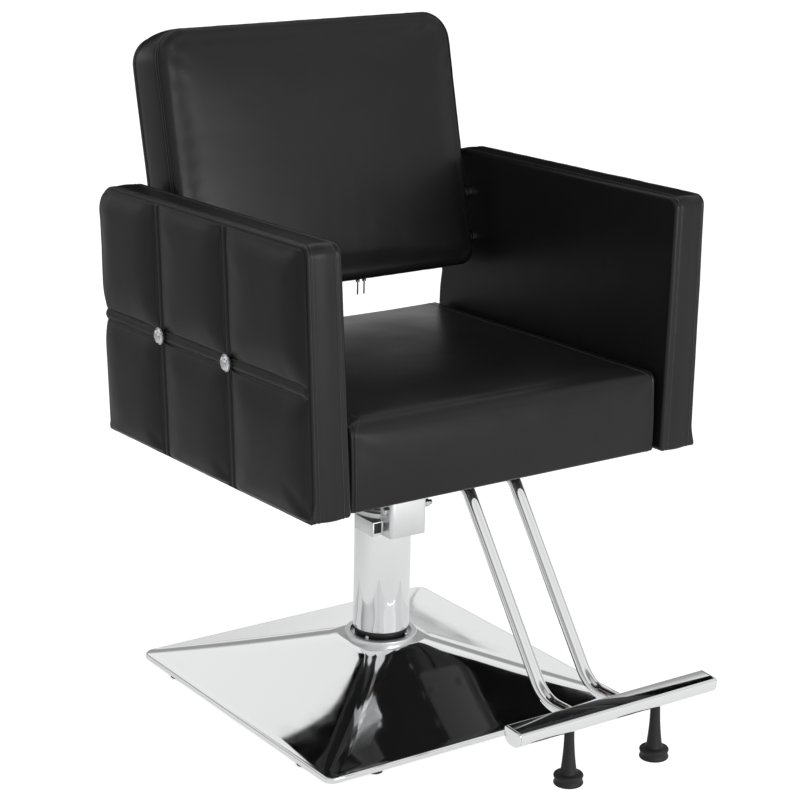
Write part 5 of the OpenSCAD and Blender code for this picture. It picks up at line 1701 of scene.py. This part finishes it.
# Where the direction round the horizon stops mattering: near the floor and high up
CALM_AT = [(0.5, 1.0), (0.545, 1.0), (0.585, 0.0), (0.7, 0.0), (0.755, 1.0)]


def make_world():
    world = bpy.data.worlds.new("studio")
    bpy.context.scene.world = world
    world.use_nodes = True
    tree = world.node_tree
    background = tree.nodes["Background"]
    way = add_node(tree, "ShaderNodeTexCoord")
    parts = add_node(tree, "ShaderNodeSeparateXYZ")
    tree.links.new(way.outputs["Generated"], parts.inputs[0])
    turn = calc(tree, "ARCTAN2", parts.outputs["Y"], parts.outputs["X"])
    share = calc(tree, "ADD", calc(tree, "DIVIDE", turn, 2 * math.pi), 0.5)
    height = calc(tree, "ADD", calc(tree, "MULTIPLY", parts.outputs["Z"], 0.5), 0.5)
    around = ramp(tree, share, ROUND_THE_ROOM)
    up = ramp(tree, height, UP_THE_ROOM)
    calm = add_node(tree, "ShaderNodeMix", data_type="RGBA")
    calm.inputs[7].default_value = (1, 1, 1, 1)
    tree.links.new(ramp(tree, height, CALM_AT), calm.inputs["Factor"])
    tree.links.new(around, calm.inputs[6])
    both = add_node(tree, "ShaderNodeMix", [("Factor", 1.0)], data_type="RGBA", blend_type="MULTIPLY")
    tree.links.new(calm.outputs[2], both.inputs[6])
    tree.links.new(up, both.inputs[7])
    seen = add_node(tree, "ShaderNodeLightPath")
    pick = add_node(tree, "ShaderNodeMix", data_type="RGBA")
    tree.links.new(seen.outputs["Is Camera Ray"], pick.inputs["Factor"])
    tree.links.new(both.outputs[2], pick.inputs[6])
    pick.inputs[7].default_value = (1, 1, 1, 1)
    tree.links.new(pick.outputs[2], background.inputs["Color"])
    background.inputs["Strength"].default_value = 1.0
    return world


pale_world = make_world()
print("the world has", len(pale_world.node_tree.nodes), "nodes")

# %% [markdown]
# ## Lamps and a flag
# A broad softbox in front rolls a highlight over the leather's edges, and a weak one above opens the
# shadows. Glossy leather seen at a low angle would mirror the bright world behind the chair, and its tops
# would turn grey. Photographers stand a black card there, which they call a flag. This one is mirrored
# by gloss alone: the camera doesn't see it, and it takes no light from the chair.

# %% Lamps and flag
FLAG_AWAY, FLAG_HALF_W = 0.6, 0.75
FLAG_LOW, FLAG_HIGH = 0.73, 1.3


def softbox(name, place, target, size, power):
    """A large flat lamp that faces a point."""
    lamp = bpy.data.lights.new(name, "AREA")
    lamp.shape = "RECTANGLE"
    lamp.size, lamp.size_y = size
    lamp.energy = power
    box = bpy.data.objects.new(name, lamp)
    bpy.context.collection.objects.link(box)
    box.location = place
    box.rotation_euler = (Vector(target) - Vector(place)).to_track_quat("-Z", "Y").to_euler()
    return box


def make_flag():
    """A black card behind the chair, above the height at which the base would mirror it."""
    away = Vector((SIDEWAYS, REARWARDS, 0)).normalized()
    across = Vector((away.y, -away.x, 0))
    ends = ((-1, FLAG_LOW), (1, FLAG_LOW), (1, FLAG_HIGH), (-1, FLAG_HIGH))
    corners = [away * FLAG_AWAY + across * side * FLAG_HALF_W + Vector((0, 0, z)) for side, z in ends]
    mesh = bpy.data.meshes.new("black_flag")
    mesh.from_pydata(corners, [], [(0, 1, 2, 3)])
    flag = bpy.data.objects.new("black_flag", mesh)
    bpy.context.collection.objects.link(flag)
    material, _, shader = start_material("flag_felt", (0.004, 0.004, 0.004), 1.0)
    shader.inputs["Specular IOR Level"].default_value = 0.0
    mesh.materials.append(material)
    flag.visible_camera = False
    flag.visible_diffuse = False
    flag.visible_shadow = False
    flag.visible_transmission = False
    return flag


black_card = make_flag()
measure(black_card)
lamps = [softbox("front_softbox", place=(0.5, -4.0, 1.1), target=(0, 0, 0.6), size=(2.2, 1.6), power=55),
         softbox("top_softbox", place=(0.2, 0.3, 3.6), target=(0, 0, 0.4), size=(2.4, 2.4), power=6)]
print("lamps:", len(lamps))
